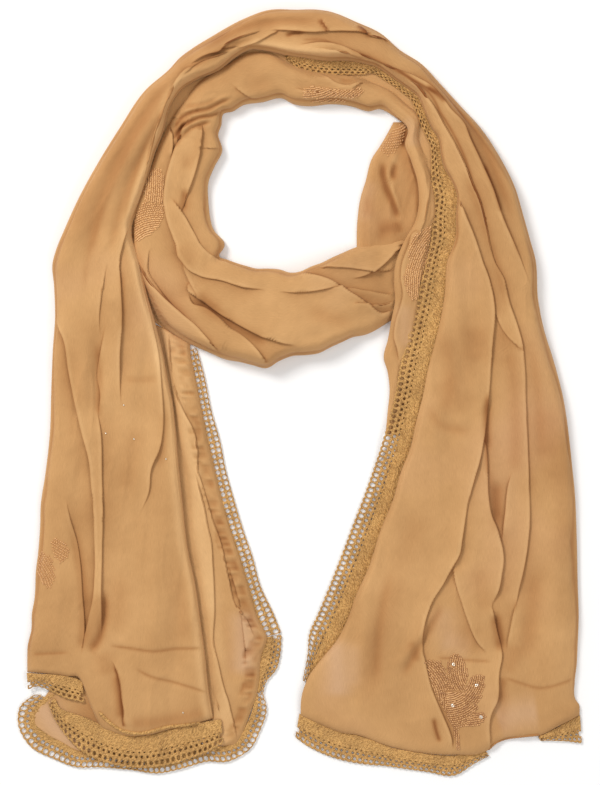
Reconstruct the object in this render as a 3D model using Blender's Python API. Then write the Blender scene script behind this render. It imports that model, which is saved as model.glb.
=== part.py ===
"""Dupatta stole laid flat: a long thin scarf wound once as a neck loop, with both ends hanging.

The cloth lies on the plane Z = 0. X runs across it, from the left tail to the right one, Y runs from
the hems to the crown of the loop, and Z is up off the table. The origin is below the middle of its box.

The scarf passes round the neck twice, so its stretches form two arches, one inside the other: the outer
arch (left tail, crown, right tail) lies on the inner arch (inner left, inner crown, inner right). The
front wrap crosses from the inner arch's left foot to its right one and closes the neck opening.
Each stretch is a gathered heap whose hidden layers share one rounded solid: flat below, with layered
edges, and with its folds raised above. Where a stretch lies on another its edge is a lip over it.
Tables are in millimetres.
"""

import math

import bmesh
import bpy
import numpy as np

MM = 0.001
SEAM = 0.3  # gap between sewn or butted pieces
EDGE_GAP = 0.9  # gap where one stretch's end is bent to lie along another's edge
LACE_WALL = 1.6
LACE_BORDER = 0.5  # the dense band of the lace stands this much above its net
LACE_BORDER_SHARE = 0.5  # and takes this share of the lace's width
LACE_STEP = 0.6  # the slope from that band to the net, and round the free edge
SHEET_WALL = 2.0
ARCH_CENTRE_Y = 130.0  # both arches bend about (0, ARCH_CENTRE_Y)
LIP = 12.0  # how far an upper stretch's edge hangs over the one below
TUCK = 8.0  # how far the lower stretch reaches under that lip
LACE_TUCK = 3.0  # how far a lace band reaches under the cloth that it is sewn to
ARCH_LEDGE = 9.0  # height of the inner arch under the outer arch's lip
ARCH_LACE_SEAT = ARCH_LEDGE + SEAM
ARCH_LIP_HEIGHT = ARCH_LACE_SEAT + LACE_WALL + LACE_BORDER + SEAM
FLOOR_LIP = 1.2  # an edge that lies on the table still rounds under by this much
FLOOR_LIP_HEIGHT = 0.7
ON_TABLE = 1.0  # an edge with a lip under this height lies on the table, and has no wide lip
ROLL = 7.0  # distance from a fold's edge to its crest
FOLD_EDGE = 1.2  # half the width of a fold's steep edge
EDGE_SHARE = 0.6  # a fold's height at the top of its steep edge, as a share of its rise
FOOT_SHARE = -0.15  # and the dip at its foot
SLOPE_SHARE = 0.3  # and midway to the fold before it
FOLD_FREE_EDGE = 5.0  # no fold rises this close to a stretch's edges
FOLD_FREE_BLEND = 8.0  # and over this further distance it grows to its whole rise
STATION_STEP = 31.0  # longest distance between two sections
LEAST_RISE = 0.5  # a tucked stretch stands at least this much above its ledge
MOST_LEDGE = 0.8  # and its ledge is at most this share of its height
FADE = 26.0  # length over which a fold dies away past its ends
HEM_FLOOR_POINTS = 11  # points along the underside of a section that bends to a hem or an edge
LEAST_COLUMN = 1.3  # closest two lengthwise lines of a stretch may run

CLOTH_COLOUR = (0.62, 0.36, 0.16, 1.0)
LACE_COLOUR = (0.55, 0.31, 0.08, 1.0)

# Rise of a layered edge: distance in from the edge, share of the height reached there.
LAYERED_EDGE = ((0.0, 0.24), (2.4, 0.30), (3.2, 0.52), (6.6, 0.60), (7.6, 0.82), (13.0, 1.0))
# Rise of an edge that lies under another stretch, measured from where that stretch's lip ends.
TUCKED_EDGE = ((2.0, 0.40), (5.0, 0.75), (11.0, 1.0))

# Outer arch: place along it, distance of its outer edge, distance of its inner edge, height, lip height.
# On the legs the place is Y and the distances are from X = 0. Round the crown the place is the
# angle in degrees about the arch's centre and the distances are radii.
LEFT_TAIL = (
    # Y, outer, inner, height, height of the inner lip
    (130, 248, 160, 19, ARCH_LIP_HEIGHT),
    (70, 246, 146, 18, ARCH_LIP_HEIGHT),
    (10, 249, 139, 16, 6.2),
    (-50, 252, 132, 15, 5.4),
    (-110, 260, 118, 14, 5.2),
    (-170, 264, 109, 13, 5.0),
    (-230, 270, 100, 12, 4.6),
    (-290, 274, 94, 10.5, 3.8),
    (-328, 276, 89, 8.5, 3.5),
    (-334, 276, 88, 6.4, 3.5),
)
CROWN = (
    # angle, outer, inner, height, height of the inner lip
    (180, 248, 160, 19, ARCH_LIP_HEIGHT),
    (165, 232, 172, 21, ARCH_LIP_HEIGHT),
    (150, 225, 174, 23, ARCH_LIP_HEIGHT),
    (135, 230, 191, 25, ARCH_LIP_HEIGHT),
    (120, 238, 209, 26, ARCH_LIP_HEIGHT),
    (105, 249, 217, 27, ARCH_LIP_HEIGHT),
    (90, 254, 205, 28, ARCH_LIP_HEIGHT),
    (75, 247, 207, 28, ARCH_LIP_HEIGHT),
    (60, 234, 205, 27, ARCH_LIP_HEIGHT),
    (45, 225, 187, 25, ARCH_LIP_HEIGHT),
    (30, 226, 172, 23, ARCH_LIP_HEIGHT),
    (15, 228, 160, 21, ARCH_LIP_HEIGHT),
    (0, 237, 147, 19, ARCH_LIP_HEIGHT),
)
RIGHT_TAIL = (
    # Y, outer, inner, height, height of the inner lip
    (130, 237, 147, 19, ARCH_LIP_HEIGHT),
    (70, 244, 140, 18, ARCH_LIP_HEIGHT),
    (10, 260, 125, 16, ARCH_LIP_HEIGHT),
    (-50, 271, 112, 14, 6.0),
    (-110, 276, 92, 13, 2.6),
    (-170, 279, 71, 12, 2.6),
    (-230, 280, 46, 11, 2.6),
    (-290, 278, 8, 9.5, 2.6),
    (-332, 280, 1, 7.5, 2.6),
    (-338, 280, 1, 5.4, 2.6),
)
# The hems' lines in plan, as rows of X, Y, and the level at which the sections above start to follow them.
HEM_START = -230.0
LEFT_HEM = ((-276, -282), (-240, -284), (-219, -288), (-206, -326), (-190, -341), (-172, -346),
            (-150, -344), (-118, -334), (-86, -327))
RIGHT_HEM = ((0, -324), (26, -336), (56, -345), (87, -356), (128, -364), (156, -365), (188, -361),
             (199, -352), (225, -347), (240, -346), (260, -336), (281, -325))

# Folds of the outer arch: which side is on top, rise, first and last place that it runs between,
# and its distance in from the outer edge at each row of the table above.
LEFT_TAIL_FOLDS = (
    # name, top side, rise, from, to, insets
    ("outer pleat", "inner", 3.4, 60, -275, (14, 14, 21, 37, 53, 59, 58, 54, 54, 54)),
    ("middle pleat", "outer", 3.0, 40, -240, (40, 43, 48, 53, 63, 66, 72, 74, 76, 76)),
    ("shoulder pleat", "outer", 3.4, 130, -10, (70, 68, 69, 74, 84, 92, 90, 88, 86, 86)),
    ("hem tuck", "inner", 2.2, -262, -330, (76, 78, 84, 92, 104, 112, 112, 104, 102, 102)),
    ("inner pleat", "inner", 2.4, -20, -200, (80, 86, 96, 104, 120, 128, 140, 146, 150, 150)),
)
CROWN_FOLDS = (
    ("crown ridge", "inner", 3.2, 125, 58, (28, 20, 17, 15, 14, 20, 23, 14, 13, 13, 13, 13, 13)),
    ("long ridge", "outer", 4.2, 96, 0, (50, 36, 30, 23, 19, 25, 35, 29, 16, 14, 22, 23, 24)),
    ("second ridge", "outer", 3.6, 66, 0, (64, 44, 38, 29, 23, 28, 40, 33, 21, 24, 36, 39, 47)),
    ("lace side ridge", "outer", 2.6, 28, 0, (74, 50, 43, 33, 26, 30, 43, 36, 25, 29, 44, 55, 63)),
)
RIGHT_TAIL_FOLDS = (
    ("outer roll", "inner", 4.0, 130, -300, (41, 30, 35, 44, 47, 54, 67, 74, 80, 80)),
    ("right pocket", "outer", 3.4, -90, -300, (44, 36, 45, 66, 70, 75, 75, 77, 84, 84)),
    ("middle panel edge", "inner", 3.6, -50, -345, (47, 42, 56, 85, 87, 79, 84, 80, 90, 90)),
    ("middle panel roll", "outer", 3.0, -172, -266, (50, 47, 64, 87, 103, 122, 112, 92, 110, 110)),
    ("lace panel edge", "inner", 4.2, 130, -345, (53, 52, 71, 88, 105, 126, 156, 146, 133, 131)),
    ("lace panel roll", "outer", 1.8, -130, -300, (70, 76, 96, 118, 138, 158, 192, 205, 200, 200)),
)

# Inner arch: place, outer edge, edge along the neck opening, height, height of that edge's lip, and
# how far in it lies flat under the outer arch's lip and the lace.
INNER_LEFT = (
    # angle, outer, opening, height, lip height, ledge
    (180, 160, 72, 8, FLOOR_LIP_HEIGHT, 10),
    (177, 161, 74, 11, FLOOR_LIP_HEIGHT, 10),
    (165, 172, 82, 14, FLOOR_LIP_HEIGHT, 10),
    (150, 174, 103, 16, FLOOR_LIP_HEIGHT, 10),
    (135, 191, 129, 17, FLOOR_LIP_HEIGHT, 10),
    (120, 209, 162, 17, FLOOR_LIP_HEIGHT, 10),
)
INNER_LEFT_BEND_Y = 160.0  # below this level its sections bend towards the wrap's upper edge
INNER_CROWN = (
    # angle, outer, opening, height, lip height, ledge
    (120, 209, 162, 17, FLOOR_LIP_HEIGHT, 10),
    (105, 217, 165, 18, FLOOR_LIP_HEIGHT, 12),
    (90, 205, 158, 18, FLOOR_LIP_HEIGHT, 25),
    (75, 207, 163, 18, FLOOR_LIP_HEIGHT, 27),
    (62, 205, 174, 17, FLOOR_LIP_HEIGHT, 24),
    (52, 196, 172, 17, 8.0, 22),
)
INNER_RIGHT_CROWN = (
    # angle, outer, opening, height, lip height, ledge
    (52, 196, 172, 17, 8.0, 22),
    (45, 187, 155, 16, 8.0, 24),
    (30, 172, 139, 16, 8.0, 28),
    (15, 160, 119, 16, 8.6, 35),
    (0, 147, 102, 15, 8.6, 31),
)
INNER_RIGHT_LEG = (
    # Y, outer, left edge, height, lip height, ledge
    (130, 147, 102, 15, 8.6, 31),
    (100, 144, 95, 15, 8.6, 35),
    (66, 140, 90, 14, 8.6, 37),
    (40, 133, 86, 12, FLOOR_LIP_HEIGHT, 37),
    (10, 125, 89, 10, FLOOR_LIP_HEIGHT, 36),
    (-18, 118, 88, 7.5, FLOOR_LIP_HEIGHT, 36),
    (-42, 113, 86, 5.2, FLOOR_LIP_HEIGHT, 37),
)
# The height of the inner arch's ledge falls to the table as the arch ends: Y, height.
LEDGE_FALL = ((-45, 2.6), (-25, 4.6), (0, 6.8), (14, ARCH_LEDGE))
INNER_LEFT_FOLDS = (
    # name, top side, rise, from, to, insets from the outer edge
    ("strip edge", "inner", 3.0, 176, 132, (36, 36, 30, 27, 20, 16)),
    ("big fold", "outer", 3.6, 176, 122, (50, 48, 44, 42, 32, 24)),
    ("gather", "inner", 2.6, 172, 118, (66, 64, 62, 56, 46, 34)),
)
INNER_CROWN_FOLDS = (
    # name, top side, rise, from, to, insets from the outer edge
    ("gather fan", "outer", 2.4, 122, 96, (16, 22, 24, 24, 14, 10)),
    ("neck roll", "inner", 2.2, 112, 62, (28, 34, 34, 32, 20, 14)),
)

# Front wrap, from under the left tail to under the inner right stretch: ends of each section in plan,
# and its height.
FRONT_WRAP = (
    # upper x, y, lower x, y, height
    (-168, 142, -154, 70, 9.0),
    (-160, 143, -144, 66, 10.6),
    (-140, 145, -134, 63, 17),
    (-115, 144, -116, 51, 21),
    (-92, 140, -95, 42, 23),
    (-72, 132, -72, 32, 24),
    (-38, 124, -44, 26, 25),
    (-9, 120, -15, 34, 25),
    (22, 130, 16, 38, 24),
    (45, 140, 40, 49, 22),
    (70, 149, 65, 57, 16),
    (88, 153, 81, 66, 7.6),
    (116, 154, 97, 73, 7.2),
)
FRONT_WRAP_FOLDS = (
    # name, top side, rise, from x, to x, insets from the upper edge
    ("upper roll", "outer", 3.0, -122, -60, (14, 14, 16, 17, 20, 22, 24, 22, 18, 16, 16, 16, 16)),
    ("neck crease", "inner", 2.4, -12, 54, (20, 20, 23, 24, 27, 28, 28, 24, 24, 22, 21, 20, 20)),
    ("pocket", "inner", 4.0, -118, 54, (33, 33, 36, 40, 50, 56, 56, 44, 40, 38, 37, 36, 36)),
    ("lap edge", "inner", 3.6, -40, 54, (43, 43, 47, 54, 63, 70, 70, 60, 56, 55, 55, 54, 54)),
    ("lower roll", "outer", 2.8, -124, -60, (56, 56, 60, 68, 76, 82, 82, 74, 72, 73, 74, 70, 68)),
)

# Cloth seen through the opening on its right, gathered under the inner arch: both ends of each section.
BACK_DRAPE = (
    # Y, left x, right x, height
    (270, 94, 107, 3.4),
    (262, 93, 112, 5.4),
    (250, 80, 113, 7.0),
    (232, 71, 117, 7.0),
    (212, 66, 124, 7.2),
    (192, 60, 125, 7.2),
    (170, 58, 122, 7.0),
    (158, 57, 116, 6.6),
    (148, 57, 111, 6.0),
)
BACK_DRAPE_FOLDS = (
    # name, top side, rise, from, to, insets from the left edge
    ("left drape pleat", "outer", 1.0, 252, 160, (4, 6, 10, 14, 17, 19, 20, 18, 16)),
    ("right drape pleat", "inner", 1.0, 252, 160, (8, 12, 20, 27, 33, 37, 36, 32, 28)),
)

# The left tail's inner fall, which comes out from under the wrap and carries the side lace.
INNER_FALL = (
    # Y, left x (under the left tail), right x (the lace's inner edge), height, the lace's free edge
    (78, -153, -112, 5.0, -105),
    (40, -150, -110, 5.8, -103),
    (10, -147, -104, 6.4, -95),
    (-50, -140, -92, 6.8, -81),
    (-110, -126, -78, 7.0, -66),
    (-170, -117, -59, 7.0, -48),
    (-230, -108, -41, 6.8, -29),
    (-248, -106, -33, 6.6, -19.5),
    (-262, -104, -38, 6.4, -21),
    (-276, -103, -40, 6.2, -24),
    (-290, -102, -41, 6.0, -34),
    (-303, -99, -43, 5.4, -35.5),
    (-330, -96, -52, 4.2, -38),
    (-346, -90, -61, 3.6, -46),
    (-352, -87, -67, 3.2, -51),
)
INNER_FALL_LEDGE = 3.0  # its height under the left tail's lip
INNER_FALL_TUCK = 9.0  # how far it reaches under that lip
INNER_FALL_FOLDS = (
    # name, top side, rise, from, to, insets from the left edge
    ("turned edge", "outer", 1.8, 20, -236, (20, 20, 19, 25, 18, 22, 26, 28, 28, 28, 28, 27, 22, 14, 10)),
    ("side pleat", "inner", 1.8, -90, -290, (27, 27, 26, 32, 32, 34, 40, 46, 44, 42, 40, 37, 30, 20, 15)),
)
LEAST_LACE_ROW = 3.0  # a band's sections keep this distance from its ends
LACE_SIDE_ENDS = (44, -248)  # the side lace of the inner fall runs between these levels
LACE_CORNER_ENDS = (-250, -303)  # and the lace at its corner between these

# Lace bands: each row has a point on the edge sewn to the cloth, the point across from it on the
# free edge and, where the band isn't on the table, the height at which it rests.
LACE_OF_ARCH = (
    # angle, sewn radius, free radius
    (93, 205, 195),
    (84, 206, 192),
    (75, 207, 190),
    (67, 206, 193),
    (58, 204, 193),
    (52, 198, 186),
    (45, 187, 173),
    (38, 180, 163),
    (30, 172, 155),
    (22, 166, 144),
    (15, 160, 136),
    (7, 153, 131),
    (0, 147, 127),
)
LACE_OF_RIGHT_LEG = (
    # Y, sewn x, free x, rest height
    (100, 144, 120, ARCH_LACE_SEAT),
    (70, 140, 113, ARCH_LACE_SEAT),
    (40, 133, 106, ARCH_LACE_SEAT),
    (10, 125, 99, ARCH_LACE_SEAT),
    (-20, 118, 92, 6.0),
    (-48, 112, 84, 3.2),
    (-75, 103, 79, 0.0),
    (-110, 92, 64, 0.0),
    (-140, 82, 53, 0.0),
    (-170, 71, 42, 0.0),
    (-200, 58, 30, 0.0),
    (-230, 46, 17, 0.0),
    (-262, 27, 6, 0.0),
    (-290, 8, 4, 0.0),
)
LACE_HEM_LEFT_BACK = (
    # sewn x, y, free x, y
    (-243, -301, -266, -301),
    (-262, -317, -281, -316),
    (-268, -332, -283, -334),
    (-256, -344, -268, -358),
    (-240, -353, -247, -369),
    (-222, -362, -226, -376),
    (-200, -363, -202, -377),
    (-171, -366, -171, -379),
    (-142, -369, -142, -382.7),
    (-118, -364, -114, -377),
    (-99, -357, -96, -371),
    (-72, -357, -70, -370),
    (-62, -352, -50, -360),
    (-54, -340, -42, -344),
    (-47, -324, -35, -324),
    (-42, -305.5, -34, -307),
)
LACE_HEM_LEFT_UPPER = (
    # sewn x, y, free x, y
    (-274, -282.8, -273, -300),
    (-258, -283.8, -259, -293),
    (-243, -284.6, -243, -296),
    (-233, -286.2, -234, -305),
    (-224.4, -288.4, -225, -306),
)
LACE_HEM_LEFT_FRONT = (
    # sewn x, y, free x, y, rest height: this band lies on the one behind it
    (-241, -322.5, -246, -324, 2.5),
    (-224, -329, -230, -348, 2.5),
    (-209, -339, -212, -360, 2.5),
    (-192, -345.4, -194, -367, 2.5),
    (-172, -349.4, -172, -371, 2.5),
    (-150, -347.4, -148, -372, 2.5),
    (-118, -337.4, -116, -368, 2.5),
    (-99, -332.6, -97, -360, 4.7),
    (-81, -329.6, -78, -350, 5.0),
)
LACE_HEM_RIGHT = (
    # sewn x, y, free x, y
    (-0.8, -324.3, -4.6, -346),
    (12, -330.6, 8, -355),
    (26, -337, 22, -362),
    (56, -345.8, 52, -371),
    (87, -356.7, 85, -375),
    (128, -364.7, 127, -381),
    (156, -365.7, 157, -384),
    (172, -363.8, 175, -372),
    (188, -362, 190, -365),
)
LACE_CORNER_RIGHT = (
    # sewn x, y, free x, y
    (240, -346.9, 241, -349.5),
    (250, -342, 254, -349.8),
    (260, -337, 267, -350.2),
    (270, -331.4, 276, -351),
    (281.4, -325.9, 283, -351.6),
)
HEM_LAYER_LEFT = (
    # upper x, y, lower x, y: the tail's lowest layer, which shows at its outer corner
    (-241, -302, -261, -318),
    (-238, -306, -266.5, -331.5),
    (-232, -308, -255.4, -343),
    (-222, -308, -239.6, -352),
    (-212, -313, -221.7, -361),
    (-207.5, -332, -200, -362),
    (-191, -343.4, -171, -365),
    (-172, -347.4, -142, -368),
    (-150, -345.6, -118.4, -363),
    (-118, -335.6, -99.2, -356),
)


def refined(rows, step, length):
    """Rows of a table with more rows between them, on smooth curves through each column.

    length(a, b) is the distance between two rows; the rows end up at most step apart.
    """
    rows = [np.array(row, float) for row in rows]
    result = []
    for i in range(len(rows) - 1):
        before = rows[max(i - 1, 0)]
        start, end = rows[i], rows[i + 1]
        after = rows[min(i + 2, len(rows) - 1)]
        count = max(1, math.ceil(length(start, end) / step))
        for k in range(count):
            t = k / count
            bend = 2 * before - 5 * start + 4 * end - after
            turn = 3 * (start - end) + after - before
            result.append(start + 0.5 * t * (end - before + t * (bend + t * turn)))
    result.append(rows[-1])
    return np.array(result)


def spread(insets, width):
    """Columns kept in order and LEAST_COLUMN apart where the width allows, from 0 to width."""
    least = min(LEAST_COLUMN, width / (len(insets) + 1))
    insets = insets.copy()
    for i in range(1, len(insets)):
        insets[i] = max(insets[i], insets[i - 1] + least)
    insets[-1] = width
    for i in range(len(insets) - 2, -1, -1):
        insets[i] = min(insets[i], insets[i + 1] - least)
    insets[0] = 0.0
    return insets


def layered_side(height, rests_at):
    """An edge's insets and heights, stepping up by layers from what it lies on to the full height."""
    rows = np.array(LAYERED_EDGE)
    return rows[:, 0], rests_at + rows[:, 1] * (height - rests_at)


def tucked_side(height, ledge, ledge_width):
    """An edge that lies flat under another stretch and its lace, then rises to the full height."""
    rows = np.array(TUCKED_EDGE)
    insets = np.concatenate([[0.0, ledge_width / 2, ledge_width], ledge_width + rows[:, 0]])
    rise = max(height - ledge, LEAST_RISE)
    return insets, np.concatenate([[ledge] * 3, ledge + rows[:, 1] * rise])


def strength(place, first, last, fade):
    """1 between a fold's ends, falling to 0 over the fade past each."""
    low, high = min(first, last), max(first, last)
    outside = max(low - place, place - high, 0.0)
    return max(0.0, 1.0 - outside / fade)


def section(width, near, far, folds):
    """Top of one section, as insets from its near edge and heights.

    near and far are the sides' insets and heights, each from its own edge inwards. A fold is its
    inset, top side and rise: a crest ROLL away from its edge, a steep edge, and a foot beside it.
    """
    columns = list(near[0])
    lifts = [0.0] * len(columns)
    last = columns[-1]
    for inset, side, rise in folds:
        columns.append(0.5 * (last + inset))
        lifts.append(SLOPE_SHARE * rise)
        across = [-ROLL, -FOLD_EDGE, FOLD_EDGE]
        shares = [1.0, EDGE_SHARE, FOOT_SHARE]
        if side == "inner":
            across = [-step for step in across[::-1]]
            shares = shares[::-1]
        columns += [inset + step for step in across]
        lifts += [share * rise for share in shares]
        last = columns[-1]
    far_insets = width - far[0][::-1]
    columns.append(0.5 * (last + far_insets[0]))
    lifts.append(0.0)
    columns += list(far_insets)
    lifts += [0.0] * len(far_insets)
    columns = spread(np.array(columns), width)
    body = np.minimum(
        np.interp(columns, near[0], near[1]),
        np.interp(width - columns, far[0], far[1]),
    )
    inside = np.minimum(columns, width - columns)
    share = np.clip((inside - FOLD_FREE_EDGE) / FOLD_FREE_BLEND, 0.0, 1.0)
    return columns, body + np.array(lifts) * share


def ring(start, end, top, near_lip, far_lip, hem=None):
    """One closed section in space, from its plan ends and its top, with lips over what it lies on.

    near_lip and far_lip are a width and a height. Between the lips the section is flat on the table.
    hem, where given, moves each point's Y by its X.
    """
    columns, heights = top
    width = columns[-1]
    floor_count = 2 if hem is None else HEM_FLOOR_POINTS
    under = [
        (width, far_lip[1]),
        (width - far_lip[0], far_lip[1]),
        *((x, 0.0) for x in np.linspace(width - far_lip[0], near_lip[0], floor_count)),
        (near_lip[0], near_lip[1]),
        (0.0, near_lip[1]),
    ]
    insets = np.concatenate([columns, [row[0] for row in under]])
    z = np.concatenate([heights, [row[1] for row in under]])
    share = (insets / width)[:, None]
    plan = np.array(start) * (1 - share) + np.array(end) * share
    if hem is not None:
        plan[:, 1] = hem(plan[:, 0], plan[:, 1])
    return np.column_stack([plan, z])


def cap(points, top_count):
    """Triangles that close one end: strips between the section's top line and the line below it.

    Both lines run from the first point's side to the far side, so each triangle stays short.
    """
    top = points[:top_count]
    under = points[top_count:][::-1]
    along = points[top_count - 1].co - points[0].co
    i = j = 0
    triangles = []
    while i < len(top) - 1 or j < len(under) - 1:
        if j == len(under) - 1:
            on_top = True
        elif i == len(top) - 1:
            on_top = False
        else:
            on_top = along.dot(top[i + 1].co) <= along.dot(under[j + 1].co)
        if on_top:
            triangles.append((top[i], top[i + 1], under[j]))
            i += 1
        else:
            triangles.append((top[i], under[j + 1], under[j]))
            j += 1
    return triangles


def loft(name, rings, top_count, material, collection):
    """A closed solid through rings that all have the same number of points.

    A ring's first top_count points are its top, in order, and the others run back below them.
    """
    mesh = bmesh.new()
    rows = [[mesh.verts.new(point * MM) for point in points] for points in rings]
    count = len(rows[0])
    for lower, upper in zip(rows, rows[1:]):
        for i in range(count):
            j = (i + 1) % count
            mesh.faces.new((lower[i], lower[j], upper[j], upper[i]))
    for triangle in cap(rows[0], top_count):
        mesh.faces.new(triangle[::-1])
    for triangle in cap(rows[-1], top_count):
        mesh.faces.new(triangle)
    mesh.normal_update()
    bmesh.ops.triangulate(mesh, faces=mesh.faces[:])
    bmesh.ops.recalc_face_normals(mesh, faces=mesh.faces[:])
    data = bpy.data.meshes.new(name)
    mesh.to_mesh(data)
    mesh.free()
    data.materials.append(material)
    piece = bpy.data.objects.new(name, data)
    collection.objects.link(piece)
    return piece


def principled(name, colour, roughness):
    material = bpy.data.materials.new(name)
    material.use_nodes = True
    shader = material.node_tree.nodes["Principled BSDF"]
    shader.inputs["Base Color"].default_value = colour
    shader.inputs["Roughness"].default_value = roughness
    shader.inputs["Metallic"].default_value = 0.0
    return material


def on_ray(angle, radius):
    turn = math.radians(angle)
    return radius * math.cos(turn), ARCH_CENTRE_Y + radius * math.sin(turn)


def folds_at(folds, insets, place, fade):
    """Each fold's inset, top side and present rise at one place along its stretch."""
    return [
        (inset, side, rise * strength(place, first, last, fade))
        for inset, (_, side, rise, first, last, _) in zip(insets, folds)
    ]


def with_folds(table, folds):
    """The rows of a stretch, each with its folds' insets after it."""
    return [(*row, *(fold[5][i] for fold in folds)) for i, row in enumerate(table)]


def trimmed(table):
    """A crown's rows with both ends turned back by half a seam, clear of the stretches they meet."""
    half_seam = math.degrees(0.5 * SEAM / table[0][2]) * 2
    first = (table[0][0] - half_seam, *table[0][1:])
    last = (table[-1][0] + half_seam, *table[-1][1:])
    return (first, *table[1:-1], last)


def row_gap_on_leg(a, b):
    return abs(a[0] - b[0])


def row_gap_on_arch(a, b):
    return math.radians(abs(a[0] - b[0])) * 0.5 * (a[1] + b[1])


def hem_line(points, lowest):
    """A function that bends sections below HEM_START to the line of the hem."""
    xs, ys = np.array(points, float).T

    def moved(x, y):
        share = np.clip((HEM_START - y) / (HEM_START - lowest), 0.0, 1.0)
        return np.where(y < HEM_START, HEM_START + share * (np.interp(x, xs, ys) - HEM_START), y)

    return moved


def outer_stretch(name, table, folds, on_leg, side, hem, material, collection):
    """One stretch of the outer arch: rests on the table, with a lip along its inner edge."""
    gap = row_gap_on_leg if on_leg else row_gap_on_arch
    fade = FADE if on_leg else math.degrees(FADE / table[0][1])
    rings = []
    for place, outer, inner, height, lip_height, *insets in refined(
        with_folds(table, folds), STATION_STEP, gap
    ):
        start, end = ends_of(place, outer, inner, on_leg, side)
        top = section(
            outer - inner,
            layered_side(height, 0.0),
            layered_side(height, lip_height),
            folds_at(folds, insets, place, fade),
        )
        near_lip = (FLOOR_LIP, FLOOR_LIP_HEIGHT)
        rings.append(ring(start, end, top, near_lip, (LIP, lip_height), hem))
    return loft(name, rings, len(top[0]), material, collection)


def ends_of(place, outer, inner, on_leg, side):
    """Plan ends of a section of either arch, on a leg at Y = place or on the ray at that angle."""
    if on_leg:
        return (side * outer, place), (side * inner, place)
    return on_ray(place, outer), on_ray(place, inner)


def inner_rings(table, folds, on_leg, hem=None):
    """Sections of the inner arch, whose outer edge lies flat under the outer arch."""
    gap = row_gap_on_leg if on_leg else row_gap_on_arch
    fade = FADE if on_leg else math.degrees(FADE / table[0][1])
    rings = []
    for place, outer, inner, height, lip_height, ledge_width, *insets in refined(
        with_folds(table, folds), STATION_STEP, gap
    ):
        start, end = ends_of(place, outer + TUCK, inner, on_leg, 1)
        full_ledge = np.interp(place, *zip(*LEDGE_FALL)) if on_leg else ARCH_LEDGE
        ledge = min(full_ledge, MOST_LEDGE * height)
        top = section(
            outer + TUCK - inner,
            tucked_side(height, ledge, ledge_width),
            layered_side(height, lip_height),
            folds_at(folds, np.array(insets) + TUCK, place, fade),
        )
        lip_width = LIP if lip_height > ON_TABLE else FLOOR_LIP
        near_lip = (FLOOR_LIP, FLOOR_LIP_HEIGHT)
        rings.append(ring(start, end, top, near_lip, (lip_width, lip_height), hem))
    return rings, len(top[0])


def wrap_rows():
    """Rows of the front wrap's table, refined; its upper and lower edges are read from them."""
    return refined(
        with_folds(FRONT_WRAP, FRONT_WRAP_FOLDS),
        STATION_STEP,
        lambda a, b: math.hypot(b[0] - a[0], b[1] - a[1]),
    )


def front_wrap(rows, material, collection):
    floor_lip = (FLOOR_LIP, FLOOR_LIP_HEIGHT)
    rings = []
    for upper_x, upper_y, lower_x, lower_y, height, *insets in rows:
        width = math.hypot(upper_x - lower_x, upper_y - lower_y)
        place = 0.5 * (upper_x + lower_x)
        top = section(
            width,
            layered_side(height, 0.0),
            layered_side(height, 0.0),
            folds_at(FRONT_WRAP_FOLDS, insets, place, FADE),
        )
        rings.append(ring((upper_x, upper_y), (lower_x, lower_y), top, floor_lip, floor_lip))
    return loft("front_wrap", rings, len(top[0]), material, collection)


def against(edge_x, edge_y, first, last, gap):
    """A function that bends a stretch's last sections to lie along an edge, a gap away from it.

    Sections between first and last are moved by a growing share, so that the last follows the edge.
    """
    order = np.argsort(edge_x)

    def moved(x, y):
        share = np.clip((y - first) / (last - first), 0.0, 1.0)
        target = np.interp(x, edge_x[order], edge_y[order]) + gap
        return y + share * (target - last)

    return moved


def back_drape(wrap, material, collection):
    floor_lip = (FLOOR_LIP, FLOOR_LIP_HEIGHT)
    foot = against(wrap[:, 0], wrap[:, 1], BACK_DRAPE[-3][0], BACK_DRAPE[-1][0], EDGE_GAP)
    rings = []
    for y, left_x, right_x, height, *insets in refined(
        with_folds(BACK_DRAPE, BACK_DRAPE_FOLDS), STATION_STEP, row_gap_on_leg
    ):
        top = section(
            right_x - left_x,
            layered_side(height, 0.0),
            layered_side(height, 0.0),
            folds_at(BACK_DRAPE_FOLDS, insets, y, FADE / 2),
        )
        rings.append(ring((left_x, y), (right_x, y), top, floor_lip, floor_lip, foot))
    return loft("back_drape", rings, len(top[0]), material, collection)


def inner_fall_rows():
    return refined(with_folds(INNER_FALL, INNER_FALL_FOLDS), STATION_STEP, row_gap_on_leg)


def inner_fall(rows, wrap, material, collection):
    floor_lip = (FLOOR_LIP, FLOOR_LIP_HEIGHT)
    head = against(wrap[:, 2], wrap[:, 3], INNER_FALL[1][0], INNER_FALL[0][0], -EDGE_GAP)
    rings = []
    for y, left_x, right_x, height, _, *insets in rows:
        top = section(
            right_x - left_x,
            tucked_side(height, min(INNER_FALL_LEDGE, MOST_LEDGE * height), INNER_FALL_TUCK),
            layered_side(height, 0.0),
            folds_at(INNER_FALL_FOLDS, insets, y, FADE),
        )
        rings.append(ring((left_x, y), (right_x, y), top, floor_lip, floor_lip, head))
    return loft("left_tail_inner_fall", rings, len(top[0]), material, collection)


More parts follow.
